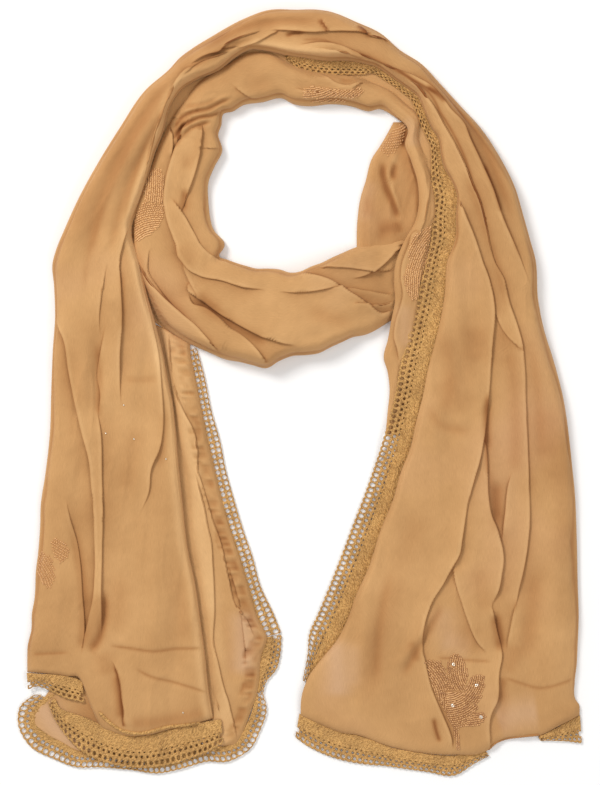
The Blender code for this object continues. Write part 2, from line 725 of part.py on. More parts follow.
def lace_ring(sewn, free, rest, under_lip):
    """One section of a lace band: a dense border along the sewn edge and a thinner net outside it."""
    sewn = np.array(sewn, float)
    free = np.array(free, float)
    across = (free - sewn) / np.linalg.norm(free - sewn)
    sewn = sewn - across * under_lip
    width = np.linalg.norm(free - sewn)
    border = LACE_BORDER_SHARE * width
    profile = (
        (0.0, LACE_WALL + LACE_BORDER),
        (border, LACE_WALL + LACE_BORDER),
        (border + LACE_STEP, LACE_WALL),
        (width - LACE_STEP, LACE_WALL),
        (width, LACE_WALL - LACE_STEP),
        (width, 0.0),
        (0.0, 0.0),
    )
    return np.array([[*(sewn + across * inset), rest + z] for inset, z in profile])


def lace_band(name, rows, under_lip, material, collection):
    """A lace band from rows of sewn x, y, free x, y and rest height."""
    rings = [lace_ring(row[:2], row[2:4], row[4], under_lip) for row in rows]
    return loft(name, rings, len(rings[0]) - 2, material, collection)


def arch_lace(material, collection):
    """The lace along the outer arch's edge, lying on the inner arch and then on the table."""
    crown = [
        (*on_ray(angle, sewn), *on_ray(angle, free), ARCH_LACE_SEAT)
        for angle, sewn, free in LACE_OF_ARCH
    ]
    leg = [(sewn, y, free, y, rest) for y, sewn, free, rest in LACE_OF_RIGHT_LEG]
    rows = refined(crown + leg, STATION_STEP, lambda a, b: math.hypot(b[0] - a[0], b[1] - a[1]))
    rows[:, 4] = np.maximum(rows[:, 4], 0.0)
    lace_band("lace_neck_and_right_side", rows, LACE_TUCK, material, collection)


def fall_lace(name, rows, ends, material, collection):
    """The lace beside the left tail's inner fall, between two levels, a seam away from its edge."""
    high, low = ends
    between = (row[0] for row in rows if low + LEAST_LACE_ROW < row[0] < high - LEAST_LACE_ROW)
    levels = [high, *between, low]
    y = rows[::-1, 0]
    band = [
        (
            np.interp(level, y, rows[::-1, 2]) + 2 * SEAM,
            level,
            np.interp(level, y, rows[::-1, 4]),
            level,
            0.0,
        )
        for level in levels
    ]
    lace_band(name, band, 0.0, material, collection)


def sheet_between(name, rows, wall, material, collection):
    """A flat layer of cloth on the table between two edges, given as rows of upper and lower points."""
    rings = [
        np.array([(ux, uy, wall), (lx, ly, wall), (lx, ly, 0), (ux, uy, 0)], float)
        for ux, uy, lx, ly in rows
    ]
    return loft(name, rings, 2, material, collection)


def clear_scene():
    for piece in list(bpy.data.objects):
        bpy.data.objects.remove(piece, do_unlink=True)


def main():
    clear_scene()
    collection = bpy.data.collections.new("dupatta_stole")
    bpy.context.scene.collection.children.link(collection)
    cloth = principled("crepe_cloth", CLOTH_COLOUR, 0.85)
    lace = principled("lace_border", LACE_COLOUR, 0.7)

    left_hem = hem_line(LEFT_HEM, LEFT_TAIL[-1][0])
    right_hem = hem_line(RIGHT_HEM, RIGHT_TAIL[-1][0])
    outer_stretch("left_tail", LEFT_TAIL, LEFT_TAIL_FOLDS, True, -1, left_hem, cloth, collection)
    outer_stretch("crown", trimmed(CROWN), CROWN_FOLDS, False, 1, None, cloth, collection)
    outer_stretch("right_tail", RIGHT_TAIL, RIGHT_TAIL_FOLDS, True, 1, right_hem, cloth, collection)

    wrap = wrap_rows()
    front_wrap(wrap, cloth, collection)
    foot = against(wrap[:, 0], wrap[:, 1], INNER_LEFT_BEND_Y, ARCH_CENTRE_Y, EDGE_GAP)
    rings, top_count = inner_rings(INNER_LEFT, INNER_LEFT_FOLDS, False, foot)
    loft("inner_left", rings, top_count, cloth, collection)
    rings, top_count = inner_rings(trimmed(INNER_CROWN), INNER_CROWN_FOLDS, False)
    loft("inner_crown", rings, top_count, cloth, collection)
    bend_rings, top_count = inner_rings(INNER_RIGHT_CROWN, (), False)
    leg_rings, top_count = inner_rings(INNER_RIGHT_LEG, (), True)
    loft("inner_right", bend_rings[:-1] + leg_rings, top_count, cloth, collection)
    back_drape(wrap, cloth, collection)
    fall = inner_fall_rows()
    inner_fall(fall, wrap, cloth, collection)
    sheet_between("left_hem_layer", HEM_LAYER_LEFT, SHEET_WALL, cloth, collection)

    arch_lace(lace, collection)
    fall_lace("lace_left_side", fall, LACE_SIDE_ENDS, lace, collection)
    fall_lace("lace_left_corner", fall, LACE_CORNER_ENDS, lace, collection)
    on_table = {
        "lace_left_hem_back": LACE_HEM_LEFT_BACK,
        "lace_left_hem_upper": LACE_HEM_LEFT_UPPER,
        "lace_right_hem": LACE_HEM_RIGHT,
        "lace_right_corner": LACE_CORNER_RIGHT,
    }
    for name, rows in on_table.items():
        lace_band(name, [(*row, 0.0) for row in rows], 0.0, lace, collection)
    lace_band("lace_left_hem_front", LACE_HEM_LEFT_FRONT, 0.0, lace, collection)


main()
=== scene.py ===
import math

import bpy
import numpy as np
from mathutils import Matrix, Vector
from mathutils.bvhtree import BVHTree


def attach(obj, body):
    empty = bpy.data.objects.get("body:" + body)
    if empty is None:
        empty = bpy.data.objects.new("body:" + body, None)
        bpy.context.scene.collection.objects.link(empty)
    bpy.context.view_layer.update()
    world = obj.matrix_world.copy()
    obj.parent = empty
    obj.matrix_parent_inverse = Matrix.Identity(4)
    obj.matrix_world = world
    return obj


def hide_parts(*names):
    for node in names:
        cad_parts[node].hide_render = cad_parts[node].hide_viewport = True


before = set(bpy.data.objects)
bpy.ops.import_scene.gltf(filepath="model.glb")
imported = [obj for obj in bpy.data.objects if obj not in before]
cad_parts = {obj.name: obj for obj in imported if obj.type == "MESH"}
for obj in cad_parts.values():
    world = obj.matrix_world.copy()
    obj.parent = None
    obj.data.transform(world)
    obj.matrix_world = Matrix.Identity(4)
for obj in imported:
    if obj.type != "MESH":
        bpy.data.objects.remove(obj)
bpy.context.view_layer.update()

# Places are in layout millimetres, as a tape laid on the table reads them: x to the right and y down
# from a corner left of and above the stole. Heights are millimetres above the table.
mm = 0.001
layoutCorner = np.array([-300.0, 392.0])
archCentre = np.array([300.0, 262.0])
archLength = math.pi * 230.0
lineStep = 3.0          # between the points of a line that a fold follows
lipHalfWidth = 0.85     # of the step from a lower layer up to the one that lies on it
lowestTop = 0.9         # no cloth's top is lower than this
softWeights = np.array([1, 2, 3, 2, 1]) / 9.0
compass = {"west": (-1, 0), "east": (1, 0), "north": (0, 1), "south": (0, -1)}
# The layers of a cloth's painted tone: painted shade in its gaps and hollows, or painted light where that
# is below zero, a painted highlight on a lip's edge and the pink cast of a single sheer layer.
paintedShadeLayer, edgeLight, veilTone = range(3)


def onTable(points):
    points = np.asarray(points, float)
    return np.stack([layoutCorner[0] + points[..., 0], layoutCorner[1] - points[..., 1]], axis=-1)


# Smooth curve through (xs, ys) at the places asked: cubic pieces whose slope at a knot is the mean of
# the two chords there, weighted by the other's length.
def smoothBetween(at, xs, ys):
    xs = np.asarray(xs, float)
    ys = np.asarray(ys, float).reshape(len(xs), -1)
    at = np.clip(np.asarray(at, float), xs[0], xs[-1])
    steps = np.diff(xs)[:, None]
    chords = np.diff(ys, axis=0) / steps
    slopes = np.empty_like(ys)
    slopes[0], slopes[-1] = chords[0], chords[-1]
    slopes[1:-1] = (chords[:-1] * steps[1:] + chords[1:] * steps[:-1]) / (steps[:-1] + steps[1:])
    i = np.clip(np.searchsorted(xs, at) - 1, 0, len(xs) - 2)
    h = (xs[i + 1] - xs[i])[:, None]
    t = (at - xs[i])[:, None] / h
    a = (1 + 2 * t) * (1 - t) ** 2 * ys[i] + t * (1 - t) ** 2 * h * slopes[i]
    b = t * t * (3 - 2 * t) * ys[i + 1] - t * t * (1 - t) * h * slopes[i + 1]
    return a + b


def smoothStep(x):
    x = np.clip(x, 0.0, 1.0)
    return x * x * (3 - 2 * x)


# One between two places and nought beyond them, with a smooth step inside each: fade is their length,
# or a pair of lengths.
def window(at, first, last, fade):
    fadeIn, fadeOut = np.broadcast_to(fade, 2)
    return smoothStep((at - first) / fadeIn) * smoothStep((last - at) / fadeOut)


# Bell curve: e to the power of minus the square of x by its width.
def bell(x, width):
    return np.exp(-((x / width) ** 2))


# Value noise on a lattice: a hash of the four corners round each point, blended with smooth steps.
def valueNoise(x, y, seed):
    x, y = np.broadcast_arrays(x, y)
    xi, yi = np.floor(x).astype(np.int64), np.floor(y).astype(np.int64)
    fx, fy = smoothStep(x - xi), smoothStep(y - yi)

    def corner(i, j):
        h = (i * 374761393 + j * 668265263 + seed * 2246822519) & 0xFFFFFFFF
        h = ((h ^ (h >> 13)) * 1274126177) & 0xFFFFFFFF
        return ((h ^ (h >> 16)) & 0xFFFF) / 32767.5 - 1.0

    low = corner(xi, yi) * (1 - fx) + corner(xi + 1, yi) * fx
    high = corner(xi, yi + 1) * (1 - fx) + corner(xi + 1, yi + 1) * fx
    return low * (1 - fy) + high * fy


# Noise along a run alone, whose swells are about as long as given.
def wander(at, swell, seed):
    return valueNoise(at / swell, 0 * at, seed)


# Quarter-round rise from 0 at an edge to 1 at the given radius.
def quarterRound(distance, radius):
    x = np.clip(distance / np.maximum(radius, 1e-6), 0.0, 1.0)
    return np.sqrt(np.maximum(0.0, 1 - (1 - x) ** 2))


# Running length of a line of points.
def runOf(points):
    return np.concatenate([[0], np.cumsum(np.linalg.norm(np.diff(points, axis=0), axis=1))])


# Unit directions along a line of points and to its left.
def headingsOf(line):
    ahead = np.gradient(line, axis=0)
    ahead /= np.linalg.norm(ahead, axis=1)[:, None]
    return ahead, np.stack([-ahead[:, 1], ahead[:, 0]], axis=1)


# Points between two edges, row by row, at shares of the way from the near one to the far one.
def between(nearEdge, farEdge, share):
    return nearEdge[:, None, :] * (1 - share)[..., None] + farEdge[:, None, :] * share[..., None]


# Signed distance of each point from a smooth curve, positive towards the named side, the unit direction
# to that side, the place along the curve and its length. Points outside the margin count as far away.
def besideCurve(plan, points, side):
    margin = 70.0
    farAway = 1e3
    pastLinePoint = 1.6
    knots = onTable(points)
    knotRun = runOf(knots)
    run = np.linspace(0, knotRun[-1], max(2, int(knotRun[-1] / lineStep) + 1))
    line = smoothBetween(run, knotRun, knots)
    ahead, left = headingsOf(line)
    toward = compass.get(side)
    if toward is None:
        toward = (line - onTable(archCentre)) * (1 if side == "out" else -1)
    sign = 1.0 if np.sum(left * np.asarray(toward)) > 0 else -1.0
    flat = plan.reshape(-1, 2)
    near = np.all((flat > line.min(0) - margin) & (flat < line.max(0) + margin), axis=1)
    nearBy = np.flatnonzero(near)
    spots = flat[nearBy]
    best = np.full(len(spots), np.inf)
    nearest = np.zeros(len(spots), int)
    for k in range(len(line)):
        gap = (spots[:, 0] - line[k, 0]) ** 2 + (spots[:, 1] - line[k, 1]) ** 2
        closer = gap < best
        best[closer] = gap[closer]
        nearest[closer] = k
    offset = spots - line[nearest]
    along = np.clip(np.sum(offset * ahead[nearest], axis=1), -pastLinePoint, pastLinePoint)
    # Between two line points the direction turns evenly, so that the fold's edge stays smooth.
    other = np.clip(nearest + np.where(along > 0, 1, -1), 0, len(line) - 1)
    share = (np.abs(along) / lineStep)[:, None]
    toSide = left[nearest] * (1 - share) + left[other] * share
    toSide /= np.linalg.norm(toSide, axis=1)[:, None]
    reach = spots - line[nearest] - ahead[nearest] * along[:, None]
    across = np.sum(reach * toSide, axis=1)
    across = np.where(across < 0, -1.0, 1.0) * np.linalg.norm(reach, axis=1)
    distance = np.full(len(flat), farAway)
    direction = np.zeros_like(flat)
    place = np.zeros(len(flat))
    distance[nearBy] = across * sign
    direction[nearBy] = toSide * sign
    place[nearBy] = run[nearest] + along
    shape = plan.shape[:-1]
    return distance.reshape(shape), direction.reshape(plan.shape), place.reshape(shape), run[-1]


# Takes a layer of tone a share of the way from where it is to one.
def deepen(tone, kind, share):
    tone[kind] = 1 - (1 - tone[kind]) * (1 - share)


# A lip: one layer lies over the next. Across it the height steps up as the hyperbolic tangent of the
# distance, its top leans out over its foot, and behind it the height falls away by the reach. Its rise
# and shade wander. For the light lost between the layers the tone gets painted shade: a narrow dark
# line at the foot and a wide faint shade beside it, while the upper layer's edge and plane get a
# painted highlight.
def addLip(plan, moved, lift, tone, rise, roll, reach, side, points, fade, shade=1.0):
    d, toSide, at, length = besideCurve(plan, points, side)
    strength = window(at, 0.0, length, fade)
    own = int(abs(points[0][0] * 7 + points[0][1] * 13))
    rise = rise * (1 + 0.30 * wander(at, 34.0, own))
    shade = shade * (0.90 + 0.45 * wander(at, 27.0, own + 1))
    half = lipHalfWidth
    lean = half + np.minimum(0.25 * rise, 0.7)
    topStart = 1.0
    away = np.clip(1 - (d - topStart) / reach, 0.0, 1.0)
    up = 0.5 * (1 + np.tanh(d / half)) * np.where(d > topStart, away ** 1.5, 1.0)
    dip = 0.13 * bell(d + 1.2 * roll, 1.3 * roll)
    x = np.clip(d / half, -9, 9)
    slide = -lean * x * np.exp(0.5 - 0.5 * x * x)
    lift += strength * rise * (up - dip)
    moved += toSide * (slide * strength)[..., None]
    below = np.maximum(-d, 0.0)
    above = np.maximum(d - 0.6 * half, 0.0)
    footLine = 0.80 * bell(below, 1.1)
    footShade = 0.38 * np.exp(-below / (0.32 * reach)) * (below < 60)
    dark = (footLine + footShade) * bell(above, 0.6 * half)
    dark = dark * strength * shade * np.minimum(1.0, 0.35 + rise / 4.5)
    deepen(tone, paintedShadeLayer, np.clip(dark, 0, 0.95))
    onTop = np.maximum(d - topStart, 0.0)
    light = 0.14 * bell(d - 1.8, 1.1) + 0.14 * np.exp(-onTop / (0.35 * reach)) * (d > 0)
    tone[edgeLight] = np.maximum(tone[edgeLight], light * strength * np.minimum(1.0, rise / 3.0))


# A soft ridge, or a trough where the rise is negative, with a bell-shaped section. A narrow trough gets
# painted shade too.
def addRidge(plan, lift, tone, rise, width, points, fade):
    d, _, at, length = besideCurve(plan, points, "out")
    section = bell(d, width) * window(at, 0.0, length, fade)
    lift += rise * section
    if rise < 0:
        narrow = math.exp(-((width / 9.0) ** 2))
        deepen(tone, paintedShadeLayer, (min(0.8, -rise / 4.0) * narrow + 0.06) * section)


# Painted tone along a curve, with no change of height: painted shade, or painted light where the
# strength is below zero, or a sheer layer's pink cast, by the kind given.
def addTone(plan, tone, kind, strength, width, points, fade):
    d, _, at, length = besideCurve(plan, points, "out")
    deepen(tone, kind, strength * bell(d, width) * window(at, 0.0, length, fade))


# Uneven wrinkles that run with the cloth: noise drawn out along it, in several sizes. The long ones
# waver across it.
def wrinkles(along, across, seed):
    wavy = across + 5.0 * valueNoise(along / 70.0, across / 60.0, seed + 9)
    z = np.zeros_like(across)
    # height, length along the cloth, length across it, and the place across it
    for number, (tall, longWay, wideWay, place) in enumerate((
        (1.7, 170.0, 24.0, wavy), (0.95, 110.0, 12.0, wavy), (0.25, 50.0, 5.2, wavy),
        (0.75, 36.0, 34.0, across), (0.22, 13.0, 13.0, across),
    )):
        z += tall * valueNoise(along / longWay, place / wideWay, seed + number)
    # Creases: the places where drawn-out noise passes nought, which come as thin winding lines.
    crease = np.abs(valueNoise(along / 75.0, wavy / 19.0, seed + 5))
    shown = smoothStep(0.5 + valueNoise(along / 60.0, across / 40.0, seed + 6))
    return z + 0.9 * np.exp(-crease * 7.0) * shown


# Quads of a grid of point numbers.
def gridQuads(index):
    return np.stack([index[:-1, :-1], index[1:, :-1], index[1:, 1:], index[:-1, 1:]], axis=-1).reshape(-1, 4)


# Quads between rings of as many points each, from one ring to the next; a closed set ends on its first.
def ringQuads(count, rings, closed=False):
    a = np.arange(count)
    b = (a + 1) % count
    bands = []
    for ring in range(rings if closed else rings - 1):
        low = ring * count
        high = (ring + 1) % rings * count
        bands.append(np.stack([a + low, b + low, b + high, a + high], 1))
    return np.concatenate(bands)


# Points round a circle of radius one.
def unitCircle(count):
    turn = np.arange(count) / count * 2 * np.pi
    return np.stack([np.cos(turn), np.sin(turn)], 1)


# A smooth-shaded mesh of quads from points in millimetres.
def quadMesh(name, points, quads):
    mesh = bpy.data.meshes.new(name)
    mesh.vertices.add(len(points))
    mesh.vertices.foreach_set("co", (points * mm).astype(np.float32).ravel())
    mesh.loops.add(quads.size)
    mesh.loops.foreach_set("vertex_index", quads.astype(np.int32).ravel())
    mesh.polygons.add(len(quads))
    mesh.polygons.foreach_set("loop_start", np.arange(0, quads.size, 4, dtype=np.int32))
    mesh.polygons.foreach_set("loop_total", np.full(len(quads), 4, np.int32))
    mesh.polygons.foreach_set("use_smooth", np.ones(len(quads), bool))
    mesh.update(calc_edges=True)
    return mesh


# The cloth's own measure, in metres along and across it, as the mesh's UV map.
def measureCloth(mesh, places):
    ofCorner = np.zeros(len(mesh.loops), np.int32)
    mesh.loops.foreach_get("vertex_index", ofCorner)
    layer = mesh.uv_layers.new(name="cloth")
    layer.data.foreach_set("uv", (places[ofCorner] * mm).astype(np.float32).ravel())


def pointValues(mesh, label, values):
    attribute = mesh.attributes.new(label, "FLOAT", "POINT")
    attribute.data.foreach_set("value", values.astype(np.float32).ravel())


def newPiece(name, mesh, material):
    mesh.materials.append(material)
    piece = bpy.data.objects.new(name, mesh)
    bpy.context.scene.collection.objects.link(piece)
    return piece


def giveWall(piece, label, thickness):
    shell = piece.modifiers.new(label, "SOLIDIFY")
    shell.thickness = thickness * mm
    shell.offset = -1.0


# A cloth's mesh from rings of points, each closed on itself: the first columns are the top.
def clothPiece(name, rings, places, tone, wall, material):
    rows, cols = rings.shape[:2]
    index = np.arange(rows * cols).reshape(rows, cols)
    quads = gridQuads(np.concatenate([index, index[:, :1]], axis=1))
    # The top faces up, so the wall grows inwards.
    top = rings[:, :cols // 2]
    facing = np.cross(top[1:, :-1] - top[:-1, :-1], top[:-1, 1:] - top[:-1, :-1])[..., 2]
    if facing.mean() < 0:
        quads = quads[:, ::-1]
    mesh = quadMesh(name, rings.reshape(-1, 3), quads)
    measureCloth(mesh, places.reshape(-1, 2))
    # Painted shade, less painted light, and the sheer cast, as point values.
    pointValues(mesh, "paintedShadeAndLight", tone[0])
    pointValues(mesh, "sheer", tone[1])
    # The open ends' edges are sharp, so that the wall's own thickness there doesn't tilt the shading.
    ends = np.zeros(len(mesh.edges) * 2, np.int32)
    mesh.edges.foreach_get("vertices", ends)
    ends = ends.reshape(-1, 2)
    atEnds = np.all(ends < cols, axis=1) | np.all(ends >= (rows - 1) * cols, axis=1)
    sharp = mesh.attributes.new("sharp_edge", "BOOLEAN", "EDGE")
    sharp.data.foreach_set("value", atEnds)
    piece = newPiece(name, mesh, material)
    giveWall(piece, "wall", wall)
    return piece


# An edge's rise to the full height: three layers one on another, each a quarter round, whose distances
# in from the edge wander along it.
def layeredRise(inside, along, radius, seed):
    secondStart = radius * (0.20 + 0.09 * wander(along, 55.0, seed))
    thirdStart = radius * (0.46 + 0.16 * wander(along, 70.0, seed + 4))
    first = quarterRound(inside, 0.22 * radius)
    second = quarterRound(inside - secondStart, 0.34 * radius)
    third = quarterRound(inside - thirdStart, 0.8 * radius)
    return 0.24 * first + 0.13 * second + 0.15 * third + 0.48 * quarterRound(inside, radius)


# Places from first to last whose steps are shorter where the crowd, a function of the place, is over one.
def crowdedRun(first, last, step, crowd):
    fineStep = 0.5
    fine = np.linspace(first, last, int((last - first) / fineStep) + 1)
    # The mean crowd between two places, times the way between them.
    fills = 0.5 * np.diff(fine) * (crowd(fine[1:]) + crowd(fine[:-1]))
    filled = np.concatenate([[0], np.cumsum(fills)])
    return np.interp(np.linspace(0, filled[-1], int(filled[-1] / step) + 1), filled, fine)


# Where each row's columns stand, as shares of its width: closer together beside the lips and the edges,
# by a first look at the distances on a coarser grid, so that a lip's narrow step keeps its shape.
def foldColumns(spec, nearEdge, farEdge, width, cols, hem):
    coarse = np.linspace(0, 1, 110)
    plan = hem(between(nearEdge, farEdge, coarse[None, :]))
    crowd = np.ones(plan.shape[:2])
    for fold in spec["lips"]:
        d, _, at, length = besideCurve(plan, fold[4], fold[3])
        crowd += 5.0 * window(at, 0.0, length, 8.0) * bell(d, 3.2)
    crowd = np.minimum(crowd, 6.0)
    inside = np.minimum(coarse[None, :], 1 - coarse[None, :]) * width[:, None]
    crowd += 2.5 * bell(inside, 5.0) + 12.0 * bell(inside, 0.9)
    # Neighbouring rows keep nearly the same spacing.
    padded = np.pad(crowd, ((2, 2), (0, 0)), mode="edge")
    crowd = sum(softWeights[k] * padded[k:k + len(crowd)] for k in range(5))
    filled = np.cumsum(0.5 * (crowd[:, 1:] + crowd[:, :-1]), axis=1)
    filled = np.concatenate([np.zeros((len(crowd), 1)), filled], axis=1)
    filled /= filled[:, -1:]
    steps = np.linspace(0, 1, cols)
    return np.stack([np.interp(steps, row, coarse) for row in filled])


# A gathered strip beside the near edge: short ripples across it, with painted shade in their troughs.
def addPucker(spec, run, across, lift, tone):
    tall, wide = spec["pucker"]
    strip = smoothStep(across / 3.0) * smoothStep((wide + 4 * wander(run, 22.0, 5) - across) / 4.0)
    ripple = valueNoise(run / 3.1, across / 9.0, spec["seed"] + 12)
    ripple = ripple + 0.6 * valueNoise(run / 7.5, across / 6.0, spec["seed"] + 13)
    lift += tall * ripple * strip
    deepen(tone, paintedShadeLayer, np.clip(0.24 - 0.40 * ripple, 0, 1) * strip)


# Creases along the sides: troughs that climb or fall along the run. What comes back is how far each
# point is pressed towards the far edge, and the painted shade in its trough.
def pressSides(spec, run, level, inNear, inFar):
    pressed, shade = np.zeros_like(level), np.zeros_like(level)
    for side, first, last, low, high, deep, tallness in spec.get("sideCreases", ()):
        inHere, way = (inNear, 1) if side == "near" else (inFar, -1)
        middle = low + (high - low) * (run - first) / (last - first)
        middle = middle + 0.05 * wander(run, 21.0, spec["seed"] + 60)
        trough = window(run, first, last, 26.0) * bell(level - middle, tallness)
        trough = trough * (1 - smoothStep((inHere - 5.0) / 5.0))
        pressed += way * deep * trough
        shade = np.maximum(shade, 0.42 * trough)
    return pressed, shade


# The underside, from the far edge back to the near one. Each edge hangs over what it lies on by its own
# share of the width, and between them the cloth lies on the table.
def underside(nearEdge, farEdge, width, near, far, fall, hem):
    mostOverhang = 0.45
    slant = 1.06
    overNear = np.minimum(near[:, 3] / width, mostOverhang)
    overFar = np.minimum(far[:, 3] / width, mostOverhang)
    lipNear, lipFar = near[:, 4] * fall, far[:, 4] * fall
    flat = 0 * width
    shares = np.stack([
        flat + 1, 1 - overFar, 1 - overFar * slant,
        0.75 - 0.80 * overFar + 0.27 * overNear,
        0.5 - 0.53 * overFar + 0.53 * overNear,
        0.25 - 0.27 * overFar + 0.80 * overNear,
        overNear * slant, overNear, flat,
    ], axis=1)
    levels = np.stack([lipFar, lipFar, flat, flat, flat, flat, flat, lipNear, lipNear], axis=1)
    return np.concatenate([hem(between(nearEdge, farEdge, shares)), levels[..., None]], axis=-1)


# A stretch of gathered cloth between two edges: its top rises in layers from each edge and carries the
# folds, and its underside is flat. near and far give for every row the top's height at the edge, how
# far in that ledge runs, the radius of the rise, how far the edge hangs over what it lies on and the
# height of that lip's underside.
def clothStretch(spec, nearEdge, farEdge, along, height, near, far, endFall, cols, hem):
    seed = spec["seed"]
    width = np.linalg.norm(farEdge - nearEdge, axis=1)
    t = foldColumns(spec, nearEdge, farEdge, width, cols, hem)
    across = t * width[:, None]
    plan = hem(between(nearEdge, farEdge, t))
    inNear = across - near[:, 1:2]
    inFar = width[:, None] - across - far[:, 1:2]
    run = np.repeat(along[:, None], cols, axis=1)
    tall = height[:, None]
    riseNear = near[:, 0:1] + (tall - near[:, 0:1]) * layeredRise(inNear, run, near[:, 2:3], seed)
    riseFar = far[:, 0:1] + (tall - far[:, 0:1]) * layeredRise(inFar, run, far[:, 2:3], seed + 7)
    z = np.minimum(riseNear, riseFar)
    tone = np.zeros((3,) + z.shape)
    # Painted shade over the whole piece, where the piece asks for it.
    tone[paintedShadeLayer] += spec.get("shade", 0.0)
    lift = np.zeros_like(z)
    moved = plan.copy()
    for fold in spec["lips"]:
        addLip(plan, moved, lift, tone, *fold)
    for fold in spec["ridges"]:
        addRidge(plan, lift, tone, *fold)
    # Painted shade along curves, or painted light where the strength is below zero; then a sheer layer's
    # pink cast.
    for shadeOrVeil in spec["paintedTones"]:
        addTone(plan, tone, paintedShadeLayer, *shadeOrVeil)
    for shadeOrVeil in spec.get("veils", ()):
        addTone(plan, tone, veilTone, *shadeOrVeil)
    lift += spec["wrinkle"] * wrinkles(run, across, seed)
    if "pucker" in spec:
        addPucker(spec, run, across, lift, tone)
    # Folds fade out at the very edges.
    inside = smoothStep((inNear - 0.5) / 7.0) * smoothStep((inFar - 0.5) / 6.0)
    plan = plan + (moved - plan) * inside[..., None]
    z = z + lift * inside
    pressed, sideShade = pressSides(spec, run, z / tall, inNear, inFar)
    plan = plan + ((farEdge - nearEdge) / width[:, None])[:, None, :] * pressed[..., None]
    # The ends fall in a quarter round to a fifth of the height.
    fall = np.ones(len(along))
    for fromEnd, length in ((along - along[0], endFall[0]), (along[-1] - along, endFall[1])):
        if length:
            fall = np.minimum(fall, 0.2 + 0.8 * quarterRound(fromEnd, length))
    z = np.maximum(z * fall[:, None], lowestTop)
    top = np.concatenate([plan, z[..., None]], axis=-1)
    under = underside(nearEdge, farEdge, width, near, far, fall, hem)
    rings = np.concatenate([top, under], axis=1)
    spare = under.shape[1]
    underStep = 8.0
    places = np.zeros(rings.shape[:2] + (2,))
    places[:, 1:cols, 0] = np.cumsum(np.linalg.norm(np.diff(top, axis=1), axis=2), axis=1)
    places[:, cols:, 0] = places[:, cols - 1:cols, 0] + np.arange(1, spare + 1) * underStep
    places[..., 1] = along[:, None]
    # Painted light: the lips' painted highlights, and painted light along a far edge that lifts the shade of
    # its steep slope. The attribute holds painted shade less painted light.
    light = tone[edgeLight] * (1 - tone[paintedShadeLayer]) * inside
    for first, last, strength, deep in spec.get("paintedSlopeLight", ()):
        light = light + strength * window(run, first, last, 40.0) * bell(inFar - deep, deep)
    shown = np.stack([tone[paintedShadeLayer] * inside + sideShade - light, tone[veilTone]])
    return rings, places, np.concatenate([shown, np.zeros((2, len(along), spare))], axis=2)


# What one of a cloth's edges is like in every row, in the order that clothStretch takes it.
def edgeRows(count, top, ledge, radius, overhang, lip):
    return np.stack([value * np.ones(count) for value in (top, ledge, radius, overhang, lip)], axis=1)


# The outer arch's own places: how far along it, and how far out from its middle line. On a leg that is
# the level and the distance from the middle; round the crown it is the angle and the radius.
def routeOf(points):
    plan = onTable(points) - onTable(archCentre)
    x, y = plan[..., 0], plan[..., 1]
    turn = np.arctan2(y, x)
    crown = (1 - turn / math.pi) * archLength
    leg = np.where(x < 0, y, archLength - y)
    return np.where(y > 0, crown, leg), np.where(y > 0, np.hypot(x, y), np.abs(x))


def onRoute(along, offset):
    turn = math.pi * (1 - np.clip(along / archLength, 0, 1))
    x, y = offset * np.cos(turn), offset * np.sin(turn)
    x = np.where(along < 0, -offset, np.where(along > archLength, offset, x))
    y = np.where(along < 0, along, np.where(along > archLength, archLength - along, y))
    return np.stack([x, y], axis=-1) + onTable(archCentre)


